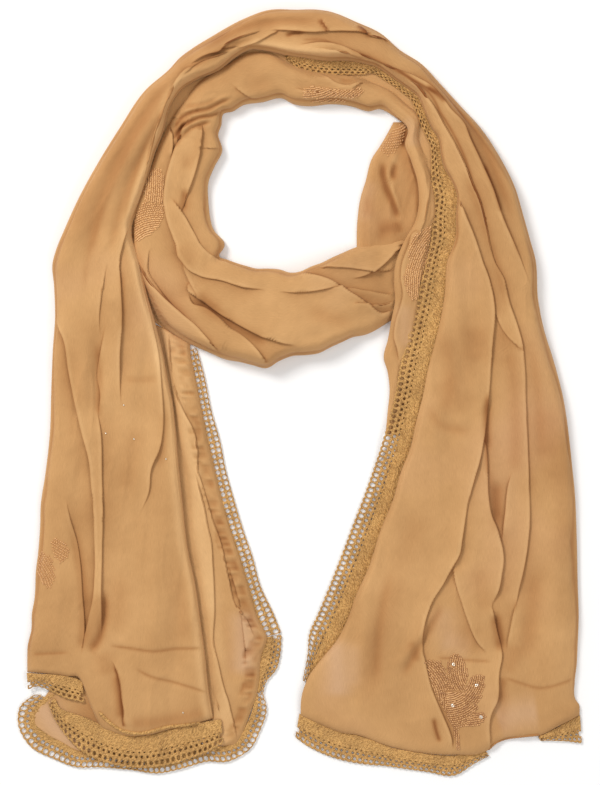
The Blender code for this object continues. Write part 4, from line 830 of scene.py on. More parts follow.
# The inner arch and the front wrap, one stretch that turns at the neck opening's lower left corner.
innerStretch = {
    "nodes": ("inner_left", "inner_crown", "inner_right", "front_wrap"),
    "seed": 31,
    "wall": 0.8,
    "columns": 97,
    "wrinkle": 0.8,
    "radii": (12, 12),
    "sideCreases": (
        ('near', 300, 460, 0.42, 0.66, 1.2, 0.11), ('near', 400, 600, 0.74, 0.5, 1.1, 0.1),
        ('near', 540, 720, 0.45, 0.68, 1.1, 0.11), ('near', 680, 860, 0.7, 0.5, 1.1, 0.1),
        ('near', 800, 980, 0.5, 0.72, 1, 0.1), ('far', 640, 820, 0.42, 0.62, 1.3, 0.11),
        ('far', 760, 960, 0.74, 0.5, 1.3, 0.1), ('far', 850, 1000, 0.34, 0.48, 1.1, 0.1),
    ),
    "rowStep": 2.7,
    # rows stand closer round this place, by this reach and this much
    "closer": ((192, 122), 34, 1.7),
    "endFall": (8, 6),
    # opening side x, y, other side x, y, height, the opening side's lip, ledge height, ledge width
    "section": (
        (386, 434, 421, 434, 5.2, 0.6, 2.6, 30), (388, 412, 425, 412, 7.4, 0.6, 4.6),
        (390, 390, 431, 390, 9.5, 0.6, 6.8), (388, 372, 436, 370, 10.8, 0.6, 8.4, 31),
        (384, 356, 441, 352, 12, 0.6, 9, 33), (388, 340, 445, 338, 13, 2), (391, 322, 448, 322, 14, 8.4),
        (395, 300, 452, 296, 14.5), (394, 283, 454, 276, 15), (395, 266, 456, 256),
        (399, 253, 460, 240, 15.5), (407, 236, 463, 218, 16, 8.4, 9, 32),
        (415, 222, 463, 200, 16, 8.2, 9, 30), (419, 204, 460, 184, 16, 8.2, 9, 28),
        (418, 184, 456, 168, 16, 8.2, 9, 27), (411, 160, 448, 145, 16, 8.2, 9, 26),
        (405, 144, 440, 127, 16, 8.2, 9, 24), (408, 130, 430, 108, 16, 8, 9, 15),
        (396, 117, 412, 86, 17, 6, 9, 18), (381, 108, 398, 72, 17, 0.6, 9, 20),
        (368, 110, 380, 60, 17, 0.6, 9, 24), (351, 105, 362, 52, 18, 0.6, 9, 26), (330, 103, 336, 48),
        (310, 105, 312, 47, 18, 0.6, 9, 24), (294, 103, 288, 44, 18, 0.6, 9, 20),
        (281, 97, 268, 40, 18, 0.6, 9, 14), (262, 101, 244, 43, 18, 0.6, 9, 11), (243, 104, 222, 55),
        (233, 110, 206, 64, 17.5), (223, 113, 190, 76, 17), (221, 124, 178, 92), (218, 134, 166, 108),
        (222, 149, 156, 126), (214, 166, 147, 146), (208, 182, 139, 166, 16.5), (208, 200, 130, 186, 16),
        (210, 218, 122, 206, 16, 0.6, 9, 12), (214, 230, 120, 228, 16, 0.6, 9, 13),
        (223, 240, 120, 252, 16.5), (224, 246, 126, 276, 17, 0.6, 8.4),
        (221, 251, 136, 300, 17.5, 0.6, 7, 12), (219, 254, 152, 320, 18, 0.6, 3, 6),
        (220, 257, 168, 331, 19, 0.6, 0.9, 0), (223, 258, 182, 340, 20), (227, 259, 196, 347, 21),
        (235, 262, 210, 353, 22), (245, 265, 224, 359, 23), (257, 268, 240, 362, 24), (268, 268, 252, 365),
        (280, 269, 267, 368, 25), (290, 272, 279, 361), (300, 271, 292, 356), (311, 266, 306, 355),
        (322, 262, 319, 353, 24.5), (332, 257, 331, 347, 24), (341, 253, 342, 342, 22.5),
        (350, 249, 353, 337, 20), (358, 246, 364, 335, 17), (370, 243, 374, 331, 13.5),
        (383, 240, 384, 325, 8.6), (396, 238, 392, 320, 7.2), (414, 238, 397, 319, 6.8),
    ),
    "lips": (
        # inner right band
        (1.8, 4, 16, "east", ((424, 232), (414, 232), (408, 247), (402, 265), (401, 277), (403, 295),
         (400, 308), (396, 319), (394, 337), (398, 352), (398, 364)), 14),
        (1, 3.5, 14, "west", ((441, 150), (432, 176), (428, 200), (424, 222), (412, 250)), (24, 16)),
        # neck back
        (2.6, 4, 16, "south", ((310, 64), (317, 69), (328, 78), (337, 84), (348, 86), (355, 84), (361, 77),
         (371, 72), (386, 73)), (12, 14)),
        (2, 4, 16, "north", ((398, 92), (384, 85), (372, 83), (360, 84), (352, 92)), (14, 10)),
        (1.8, 3.5, 14, "south", ((293, 88), (310, 92), (330, 93), (345, 95), (362, 95)), (12, 10)),
        (1.6, 3, 14, "north", ((231, 84), (240, 92), (252, 99), (264, 101)), (12, 8)),
        # left band
        (3, 4, 18, "in", ((190, 116), (181, 134), (172, 159), (166, 182), (164, 203), (168, 222), (174, 239),
         (182, 264), (194, 290), (206, 312)), (16, 40)),
        (2.4, 4, 16, "west", ((203, 122), (200, 153), (192, 182), (184, 205), (181, 216)), (10, 16)),
        (1.8, 3, 10, "west", ((166, 112), (171, 128), (173, 142), (171, 159)), (8, 6)),
        (1.8, 4, 14, "south", ((210, 188), (206, 202), (208, 220)), (10, 12)),
        (1, 3, 10, "north", ((201, 148), (212, 149), (222, 148)), 5),
        # from the left band into the wrap
        (2.6, 4.5, 18, "south", ((170, 196), (182, 212), (192, 230), (204, 249), (214, 257), (232, 262),
         (256, 270)), (20, 24)),
        (2.8, 5, 20, "north", ((172, 240), (181, 259), (189, 270), (200, 276), (223, 281), (242, 287),
         (268, 291)), (18, 26)),
        (3, 5, 20, "west", ((134, 246), (141, 267), (149, 281), (164, 298), (183, 315), (196, 326),
         (207, 338), (217, 350), (222, 360)), (16, 26)),
        (1.8, 4, 14, "west", ((150, 246), (149, 273), (158, 287), (172, 303), (194, 322)), (16, 20)),
        (3.4, 5, 22, "north", ((190, 276), (188, 290), (203, 301), (219, 313), (245, 328), (263, 337),
         (281, 343), (300, 348)), (18, 24)),
        (3.2, 5, 24, "south", ((189, 292), (193, 304), (205, 308), (219, 318), (230, 328), (245, 338),
         (258, 351), (269, 366)), (12, 10)),
        (3.6, 5, 26, "south", ((288, 266), (300, 271), (332, 281), (350, 292), (366, 302), (383, 313),
         (396, 308)), 10),
        (2, 3.5, 12, "north", ((296, 271), (311, 269), (348, 268), (374, 271), (396, 270)), (10, 8)),
        (2, 3.5, 12, "south", ((330, 286), (342, 287), (362, 290), (380, 293), (396, 295)), (10, 8)),
        (2, 3, 10, "south", ((352, 303), (365, 304), (385, 304), (396, 300)), (8, 6)),
        (2.4, 4, 14, "north", ((350, 280), (364, 276), (378, 269), (390, 258), (401, 246), (412, 234)),
         (20, 6)),
        (1.6, 4, 14, "north", ((276, 292), (300, 293), (322, 290), (342, 286)), 20),
    ),
    "ridges": (
        (-3, 6, ((194, 296), (210, 308), (232, 324), (254, 336), (272, 345)), (14, 16)),
        (-2, 4, ((337, 79), (348, 80), (358, 75)), (8, 6)),
        # the fan of gathers at the upper left, ridge and trough by turns
        (1.9, 2.6, ((174, 127), (182, 114), (193, 109), (207, 106), (223, 99), (234, 96)), (8, 10)),
        (-2.1, 2, ((173, 131), (181, 118), (193, 113), (207, 110), (223, 102), (233, 99)), (8, 10)),
        (1.9, 2.4, ((174, 136), (184, 122), (195, 116.5), (210, 113), (226, 105)), (8, 10)),
        (-2.2, 1.9, ((174, 140), (185, 126), (197, 119.5), (212, 116), (228, 108)), (8, 10)),
        (1.9, 2.4, ((174, 146), (180, 134), (190, 126), (200, 121.5), (212, 119)), (8, 10)),
        (-2.2, 2, ((174, 151), (181, 139), (191, 129.5), (201, 125), (214, 122)), (8, 10)),
        (-1, 2.2, ((178, 103), (190, 106), (204, 105), (220, 99)), (8, 10)),
        (1, 2.6, ((178, 99), (190, 102), (204, 101), (220, 95)), (8, 10)),
        (-2.2, 3, ((175, 137), (181, 128), (187, 122)), 5),
        (-2.4, 3, ((186, 188), (184, 202), (183, 213)), 8),
        (-1.6, 3, ((202, 124), (201, 132)), 3),
        (1.6, 9, ((250, 70), (270, 76), (290, 80)), 20),
        (-1.4, 9, ((240, 76), (256, 84), (280, 90)), 20),
        (0.6, 8, ((420, 118), (428, 150), (424, 190), (420, 214)), (30, 20)),
        (-1.8, 8, ((300, 305), (330, 318), (360, 324)), 24),
        (1.6, 9, ((230, 296), (262, 306), (300, 322), (340, 330)), 30),
        (1.6, 6, ((182, 150), (180, 176), (176, 200)), 20),
        (-1.4, 7, ((190, 150), (186, 176)), 14),
        (1.2, 6, ((240, 272), (256, 278), (276, 281)), 14),
    ),
    # painted shade along folds and gaps: strength, width, places, and its fade
    "paintedTones": (
        (0.3, 9, ((194, 292), (206, 304), (222, 316)), (8, 12)),
        (0.2, 10, ((176, 244), (186, 256), (200, 266)), (10, 14)),
        (0.34, 6, ((176, 120), (186, 122), (198, 124)), (6, 10)),
        (0.45, 2.2, ((174, 140), (179, 131), (186, 124)), (3, 5)),
        (0.45, 1.7, ((175, 128), (183, 117), (194, 112), (208, 109)), (5, 12)),
        (0.4, 1.7, ((178, 137), (187, 124), (199, 118), (214, 114)), (5, 12)),
        (0.24, 5, ((202, 126), (200, 146), (195, 164)), (4, 10)),
        (0.26, 6, ((186, 186), (185, 202), (184, 214)), 8),
        (0.14, 20, ((376, 268), (370, 290), (372, 316)), 12),
    ),
    "veils": (
        (0.4, 9, ((405, 300), (404, 326), (408, 352)), 12),
        (0.35, 8, ((404, 116), (412, 132), (414, 150)), 8),
    ),
}


# A cloth whose rows are given across it. They stand at even steps along a line between its edges, or
# closer round one place.
def arrangeRows(spec):
    rows = filledRows(spec["section"])
    middle = 0.35 * onTable(rows[:, 0:2]) + 0.65 * onTable(rows[:, 2:4])
    knots = runOf(middle)
    place, reach, much = spec.get("closer", ((0, 0), 1.0, 0.0))
    centre = knots[np.argmin(np.linalg.norm(middle - onTable(place), axis=1))]
    along = crowdedRun(0.0, knots[-1], spec["rowStep"], lambda at: 1 + much * bell(at - centre, reach))
    values = smoothBetween(along, knots, rows)
    count = len(along)
    nearRadius, farRadius = spec["radii"]
    overhang = 1.2
    lip = values[:, 5]
    near = edgeRows(count, np.maximum(lip + 1.0, lowestTop), 0, nearRadius,
                    np.where(lip > 1.5, 11.0, overhang), lip)
    if values.shape[1] > 6:
        ledge, ledgeWidth = np.maximum(values[:, 6], lowestTop), np.maximum(values[:, 7], 0)
        far = edgeRows(count, ledge, ledgeWidth, farRadius, overhang, 0)
    else:
        far = edgeRows(count, lowestTop, 0, farRadius, overhang, 0)
    return clothStretch(spec, onTable(values[:, 0:2]), onTable(values[:, 2:4]), along, values[:, 4],
                        near, far, spec["endFall"], spec["columns"], lambda plan: plan)


# Cloth seen through the opening on its right. The edges' radii are the opening's side and the other.
backDrape = {
    "nodes": ("back_drape",),
    "seed": 51,
    "wall": 0.8,
    "columns": 60,
    "radii": (6, 6),
    # painted shade over the whole piece
    "shade": 0.24,
    "wrinkle": 1.5,
    "rowStep": 2.6,
    "endFall": (6, 0),
    # opening side x, y, other side x, y, height, lip
    "section": (
        (394, 121, 407, 121, 3.4, 0), (388, 132, 412, 130, 5.4), (381, 144, 414, 142, 7),
        (372, 158, 418, 158), (366, 180, 425, 178, 7.2), (361, 196, 427, 198), (358, 216, 424, 218),
        (357, 232, 418, 230, 7), (357, 250, 412, 240, 6),
    ),
    "lips": (
        (1.2, 3.5, 12, "east", ((410, 120), (408, 134), (408, 150), (412, 168), (417, 184)), (6, 14)),
    ),
    "ridges": (
        (1.2, 7, ((370, 200), (374, 222), (384, 238)), (16, 10)),
        (-1, 7, ((392, 214), (386, 230), (376, 243)), (14, 8)),
        (2.4, 3.4, ((399, 148), (393, 160), (389, 171), (391, 186), (396, 200), (401, 216)), 10),
        (-2.4, 3.2, ((384, 160), (383, 172), (385, 184), (390, 196), (395, 208), (398, 220)), 10),
        (-1.9, 3, ((405, 126), (404, 138), (403, 150)), (6, 8)),
        (-1.4, 4, ((395, 164), (394, 172), (396, 182)), (6, 8)),
        (1.2, 3.6, ((400, 126), (397, 138), (393, 148)), (8, 10)),
    ),
    # painted shade along folds and gaps, and a painted highlight along a ridge where the strength is below
    # zero
    "paintedTones": (
        (0.46, 3.6, ((382, 160), (383, 174), (386, 186), (391, 198), (396, 209), (399, 219)), (12, 8)),
        (-0.45, 1.8, ((399, 152), (393, 163), (388.5, 172), (391, 185), (396, 199), (401, 215)), 8),
        (0.52, 3.6, ((396, 161), (393, 172), (394, 183)), (5, 8)),
        (0.75, 2.4, ((405, 124), (404.5, 136), (403, 149)), (5, 8)),
        (0.5, 1.7, ((408, 130), (408.5, 148), (412, 165), (417, 182), (417.5, 203), (418, 217)), (6, 8)),
        (0.42, 7, ((375, 231), (388, 228), (402, 228)), 8),
        (0.45, 4, ((395, 220), (399, 227), (402, 233)), 4),
        (0.25, 6, ((365, 192), (367, 206), (369, 220)), 10),
        (0.22, 7, ((404, 122), (402, 136), (404, 152), (412, 172), (416, 200)), (6, 12)),
    ),
    "veils": (
        (0.4, 8, ((372, 176), (366, 200), (364, 226)), 12),
    ),
}

# The left tail's inner fall, which comes out from under the wrap.
innerFall = {
    "nodes": ("left_tail_inner_fall",),
    "seed": 71,
    "wall": 0.8,
    "columns": 66,
    "radii": (5, 6),
    "wrinkle": 0.45,
    # painted light that lifts the shade of the slope by the far edge
    "paintedSlopeLight": ((-40, 480, 0.46, 10),),
    # how tall the puckers are and how wide their strip is
    "pucker": (1.5, 19),
    "rowStep": 1.75,
    "endFall": (4, 6),
    # lace side x, y, other side x, y, height, lip, ledge height, ledge width
    "section": (
        (190, 340, 150, 322, 4.6, 0, 2.6, 12), (190, 352, 150, 350, 5.4, 0, 2.8, 14),
        (196, 382, 153, 382, 5.8, 0, 3, 17), (202, 412, 156, 412, 6, 0, 3, 18),
        (208, 442, 160, 442, 6, 0, 3, 19), (215, 472, 165, 472, 6, 0, 3, 20),
        (222, 502, 174, 502, 6, 0, 3, 14), (231, 532, 178, 532, 6, 0, 3, 12), (241, 562, 183, 562),
        (250, 592, 187, 592, 6, 0, 2.8), (259, 622, 192, 622, 6, 0, 2.6), (267, 640, 194, 640, 6, 0, 2.4),
        (262, 654, 196, 654, 5.8, 0, 2.2), (259, 682, 198, 682, 5.4, 0, 2), (257, 695, 201, 695, 5),
        (251, 712, 203, 712, 4.4, 0, 2, 10), (246, 726, 204, 726, 4, 0, 1.6, 8),
        (241, 738, 206, 738, 3.6, 0, 1, 4), (235, 748, 206, 747, 3, 0, 0.9, 2),
    ),
    "lips": (
        (1.6, 3.5, 12, "west", ((168, 331), (170, 354), (172, 377), (177, 396), (184, 413), (193, 430),
         (197, 450), (197, 466), (204, 492), (211, 516), (221, 545), (226, 568), (229, 582), (235, 604),
         (245, 618), (256, 640)), (14, 20)),
        (1.6, 4, 14, "west", ((195, 470), (199, 489), (204, 508), (207, 525), (211, 543), (212, 562),
         (213, 579), (214, 613), (213, 642), (218, 665), (223, 687), (227, 699), (231, 715), (238, 743)),
         (24, 16)),
        (1.2, 3, 12, "west", ((212, 690), (216, 700), (220, 716)), (6, 8)),
        (1.2, 4, 14, "east", ((226, 560), (236, 590), (243, 630), (246, 668)), (20, 24)),
    ),
    "ridges": (
        (1.2, 8, ((205, 540), (204, 590), (206, 650)), 30),
        (-1, 6, ((222, 600), (226, 640), (232, 690)), 24),
    ),
    # painted shade along folds
    "paintedTones": (
        (0.22, 8, ((250, 664), (252, 680), (250, 694)), 6),
        (0.2, 8, ((214, 600), (214, 650), (222, 700)), (20, 16)),
    ),
    "veils": (
        (0.75, 12, ((242, 606), (244, 640), (242, 680)), (16, 14)),
    ),
}

# The left tail's lowest layer, at its outer corner.
hemLayer = {
    "nodes": ("left_hem_layer",),
    "seed": 91,
    "wall": 0.6,
    "columns": 24,
    "radii": (2, 2),
    "wrinkle": 0,
    "rowStep": 3,
    "endFall": (4, 4),
    # outer side x, y, inner side x, y, height, lip
    "section": (
        (37, 708, 52, 686, 2, 0), (32, 722, 62, 679), (44, 735, 73, 680), (60, 744, 83, 684),
        (79, 753, 90.5, 703), (100, 754, 97, 718), (129, 757, 110, 732), (158, 760, 128, 736),
        (182, 755, 150, 735), (203, 747, 182, 727),
    ),
    "lips": (),
    "ridges": (),
    # painted shade along the hem
    "paintedTones": (
        (0.3, 10, ((84, 700), (92, 722), (120, 742), (160, 744)), (6, 10)),
    ),
    "veils": (
        (0.85, 14, ((40, 704), (50, 722), (70, 738), (96, 750)), (6, 10)),
    ),
}


nodeProperties = ("operation", "use_clamp", "data_type", "blend_type", "attribute_name", "uv_map",
                  "bands_direction", "vector_type", "invert", "node_tree")


# Sets a node's inputs by name: another node's output is linked, and anything else is the input's value.
def setInputs(tree, made, values):
    for label, value in values.items():
        if isinstance(value, bpy.types.NodeSocket):
            tree.links.new(value, made.inputs[label])
        else:
            made.inputs[label].default_value = value


# A new node from its properties and inputs, given back as the output asked for.
def node(tree, kind, output, **settings):
    made = tree.nodes.new("ShaderNode" + kind)
    for key in [key for key in settings if key in nodeProperties]:
        setattr(made, key, settings.pop(key))
    setInputs(tree, made, settings)
    return made.outputs[output]


# Colour ramp from a list of places and colours.
def ramp(tree, factor, stops):
    made = tree.nodes.new("ShaderNodeValToRGB")
    tree.links.new(factor, made.inputs["Fac"])
    elements = made.color_ramp.elements
    for element, (place, colour) in ((elements[0], stops[0]), (elements[1], stops[-1])):
        element.position = place
        element.color = (*colour, 1)
    for place, colour in stops[1:-1]:
        elements.new(place).color = (*colour, 1)
    return made.outputs["Color"]


def blend(tree, kind, factor, first, second):
    return node(tree, "Mix", "Result", data_type="RGBA", blend_type=kind, Factor=factor, A=first, B=second)


# A shader group that starts from noise. It takes the noise's inputs and the extra ones, each with its
# kind and value, and has one output.
def noiseGroup(name, extraInputs, output, outputKind):
    group = bpy.data.node_groups.new(name, "ShaderNodeTree")
    noiseInputs = (("Vector", "Vector", (0, 0, 0)), ("Scale", "Float", 1), ("Detail", "Float", 2),
                   ("Roughness", "Float", 0.5))
    for label, kind, value in noiseInputs + extraInputs:
        socket = group.interface.new_socket(label, in_out="INPUT", socket_type="NodeSocket" + kind)
        socket.default_value = value
    group.interface.new_socket(output, in_out="OUTPUT", socket_type="NodeSocket" + outputKind)
    given = group.nodes.new("NodeGroupInput").outputs
    noise = node(group, "TexNoise", "Fac", **{label: given[label] for label, _, _ in noiseInputs})
    return group, given, noise, group.nodes.new("NodeGroupOutput").inputs[output]


# Mottling: soft noise shades a colour between a dark tint and a light one.
def mottleGroup():
    group, given, noise, shaded = noiseGroup("mottle", (
        ("Color", "Color", (1, 1, 1, 1)), ("Dark", "Color", (0.9, 0.9, 0.9, 1)),
        ("Light", "Color", (1, 1, 1, 1))), "Color", "Color")
    share = ramp(group, noise, ((0.3, (0, 0, 0)), (0.7, (1, 1, 1))))
    tint = blend(group, "MIX", share, given["Dark"], given["Light"])
    group.links.new(blend(group, "MULTIPLY", 1.0, given["Color"], tint), shaded)
    return group


# Grain: fine noise as a raised surface, on top of the normal given.
def grainGroup():
    group, given, noise, raised = noiseGroup("grain", (
        ("Strength", "Float", 0.4), ("Distance", "Float", 0.0002), ("Normal", "Vector", (0, 0, 1))),
        "Normal", "Vector")
    group.links.new(node(group, "Bump", "Normal", Height=noise, Strength=given["Strength"],
                         Distance=given["Distance"], Normal=given["Normal"]), raised)
    return group


mottle = mottleGroup()
grain = grainGroup()


def newMaterial(name):
    material = bpy.data.materials.new(name)
    material.use_nodes = True
    return material, material.node_tree, material.node_tree.nodes["Principled BSDF"]


# Crepe: golden brown cloth, with painted shade in its hollows and painted highlights on its edges.
def crepeCloth():
    material, tree, shader = newMaterial("crepeCloth")
    place = node(tree, "TexCoord", "Object")
    measure = node(tree, "UVMap", "UV", uv_map="cloth")
    # Tone: soft noise over the cloth, a little lighter and a little browner than the middle.
    broad = node(tree, "TexNoise", "Fac", Vector=place, Scale=14.0, Detail=3.0, Roughness=0.55)
    tone = ramp(tree, broad, ((0.28, (0.475, 0.250, 0.095)), (0.5, (0.540, 0.295, 0.117)),
                              (0.75, (0.605, 0.340, 0.140))))
    # Pink cast where a single layer lies thin: larger noise, only its highest part.
    thin = node(tree, "TexNoise", "Fac", Vector=place, Scale=6.5, Detail=2.0, Roughness=0.5)
    thinShare = ramp(tree, thin, ((0.56, (0, 0, 0)), (0.78, (0.5, 0.5, 0.5))))
    pink = blend(tree, "MIX", thinShare, tone, (0.575, 0.315, 0.165, 1))
    # A single sheer layer with the pale table under it.
    sheer = node(tree, "Attribute", "Fac", attribute_name="sheer")
    veil = blend(tree, "MIX", sheer, pink, (0.600, 0.365, 0.205, 1))
    # Painted shade: the attribute darkens the hollows to a deep orange brown, as light passed from layer to
    # layer would, and the deepest nearly dark.
    paintedShadeAndLight = node(tree, "Attribute", "Fac", attribute_name="paintedShadeAndLight")
    depth = ramp(tree, paintedShadeAndLight, ((0.0, (1, 1, 1)), (0.5, (0.78, 0.665, 0.575)), (1.0, (0.38, 0.20, 0.09))))
    deep = blend(tree, "MULTIPLY", 1.0, veil, depth)
    # Painted highlight on a lip's edge: the same attribute below zero mixes in a lighter colour.
    edge = tree.nodes.new("ShaderNodeMath")
    edge.operation = "MULTIPLY"
    edge.use_clamp = True
    tree.links.new(paintedShadeAndLight, edge.inputs[0])
    edge.inputs[1].default_value = -1.0
    bright = blend(tree, "MIX", edge.outputs["Value"], deep, (0.80, 0.50, 0.235, 1))
    # Yarn slubs: fine noise drawn out along the cloth, darkening and lightening single yarns.
    drawn = node(tree, "Mapping", "Vector", Vector=measure, Scale=(2600, 130, 1))
    yarn = node(tree, "Group", "Color", node_tree=mottle, Color=bright, Vector=drawn, Roughness=0.6,
                Dark=(0.90, 0.89, 0.88, 1), Light=(1.06, 1.06, 1.06, 1))
    # Crepe surface: pebbled fine grain in the cloth's own measure, over soft puckers.
    flat = node(tree, "NewGeometry", "Normal")
    puckers = node(tree, "Group", "Normal", node_tree=grain, Vector=place, Scale=110.0, Detail=3.0,
                   Roughness=0.6, Strength=0.35, Distance=0.0012, Normal=flat)
    pebbles = node(tree, "Mapping", "Vector", Vector=measure, Scale=(1500, 1350, 1))
    weave = node(tree, "Group", "Normal", node_tree=grain, Vector=pebbles, Detail=3.0, Roughness=0.65,
                 Strength=0.5, Distance=0.00025, Normal=puckers)
    setInputs(tree, shader, {
        "Base Color": yarn, "Normal": weave, "Roughness": 0.78, "Specular IOR Level": 0.22,
        "Sheen Weight": 0.14, "Sheen Roughness": 0.45, "Sheen Tint": (1.0, 0.86, 0.68, 1),
    })
    return material


# Crochet thread: golden loops, with painted shade in the dark turns between them.
def laceThread():
    material, tree, shader = newMaterial("laceThread")
    place = node(tree, "TexCoord", "Object")
    measure = node(tree, "UVMap", "UV", uv_map="cloth")
    # Painted light and shade: the loops get a painted highlight of light gold, and the turns between them
    # painted shade of dark ochre. The loops lie aslant, each longer than it is wide.
    aslant = node(tree, "Mapping", "Vector", vector_type="TEXTURE", Vector=measure,
                  Rotation=(0, 0, 0.75), Scale=(0.00105, 0.0022, 1))
    loops = node(tree, "TexVoronoi", "Distance", Vector=aslant, Scale=1.0)
    tone = ramp(tree, loops, ((0.1, (0.74, 0.42, 0.140)), (0.5, (0.59, 0.318, 0.096)),
                              (0.95, (0.35, 0.168, 0.044))))
    worn = node(tree, "Group", "Color", node_tree=mottle, Color=tone, Vector=place, Scale=60.0,
                Dark=(0.84, 0.82, 0.8, 1), Light=(1.1, 1.1, 1.1, 1))
    # Twisted thread: fine diagonal waves over the loops.
    twist = node(tree, "TexWave", "Fac", bands_direction="DIAGONAL", Vector=measure, Scale=420.0,
                 Distortion=3.0)
    turns = node(tree, "Bump", "Normal", Height=twist, Strength=0.5, Distance=0.0004)
    knots = node(tree, "Bump", "Normal", invert=True, Height=loops, Strength=0.85, Distance=0.0010,
                 Normal=turns)
    setInputs(tree, shader, {
        "Base Color": worn, "Normal": knots, "Roughness": 0.52, "Specular IOR Level": 0.35,
        "Sheen Weight": 0.25, "Sheen Tint": (1.0, 0.85, 0.5, 1),
    })
    return material


# Satin embroidery thread: its tone comes from a per-point attribute, which holds each stitch's own tone,
# painted shade at its skirt and a painted highlight on its crown.
def satinThread():
    material, tree, shader = newMaterial("satinThread")
    # Painted shade and highlight, with each stitch's own tone.
    own = node(tree, "Attribute", "Fac", attribute_name="paintedShadeAndLight")
    tone = ramp(tree, own, ((0.0, (0.25, 0.088, 0.022)), (0.45, (0.505, 0.236, 0.077)),
                            (1.0, (0.84, 0.485, 0.195))))
    strands = node(tree, "Group", "Normal", node_tree=grain, Vector=node(tree, "TexCoord", "Object"),
                   Scale=1800.0, Normal=node(tree, "NewGeometry", "Normal"))
    setInputs(tree, shader, {
        "Base Color": tone, "Normal": strands, "Roughness": 0.36, "Specular IOR Level": 0.55,
        "Sheen Weight": 0.2,
    })
    return material


# Sequins: pale gold metal with an uneven film.
def metalDisc():
    material, tree, shader = newMaterial("sequinMetal")
    film = node(tree, "Group", "Color", node_tree=mottle, Vector=node(tree, "TexCoord", "Object"),
                Scale=900.0, Detail=1.0, Dark=(0.95, 0.84, 0.66, 1), Light=(1.0, 0.95, 0.86, 1))
    setInputs(tree, shader, {"Base Color": film, "Metallic": 0.85, "Roughness": 0.22})
    return material


clothMaterial = crepeCloth()
laceMaterial = laceThread()
threadMaterial = satinThread()
sequinMaterial = metalDisc()
print("stole: materials made", flush=True)

# The outer arch is one cloth, made as its three stretches: their surfaces are the same function, so
# they meet evenly at the level of the arch's centre.
outerPieces = []
archStart, archEnd = outerArch["section"][0][0], outerArch["section"][-1][0]
for name, nodeName, first, last, step, cols, ends in (
    ("leftTailCloth", "left_tail", archStart, 0.0, outerArch["rowStep"], outerArch["columns"],
     (outerArch["endFall"], 0)),
    ("crownCloth", "crown", 0.0, archLength, outerArch["crownRowStep"], outerArch["crownColumns"], (0, 0)),
    ("rightTailCloth", "right_tail", archLength, archEnd, outerArch["rowStep"], outerArch["columns"],
     (0, outerArch["endFall"])),
):
    rings, places, tone = arrangeOuter(outerArch, first, last, step, cols, ends)
    piece = clothPiece(name, rings, places, tone, outerArch["wall"], clothMaterial)
    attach(piece, "root")
    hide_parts(nodeName)
    outerPieces.append(piece)
leftTailCloth, crownCloth, rightTailCloth = outerPieces
print("stole: outer arch made", flush=True)

innerPieces = []
for name, spec in (("innerStretchCloth", innerStretch), ("backDrapeCloth", backDrape),
                   ("innerFallCloth", innerFall), ("hemLayerCloth", hemLayer)):
    rings, places, tone = arrangeRows(spec)
    piece = clothPiece(name, rings, places, tone, spec["wall"], clothMaterial)
    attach(piece, "root")
    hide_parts(*spec["nodes"])
    innerPieces.append(piece)
innerCloth, drapeCloth, fallCloth, hemCloth = innerPieces
print("stole: inner cloth made", flush=True)


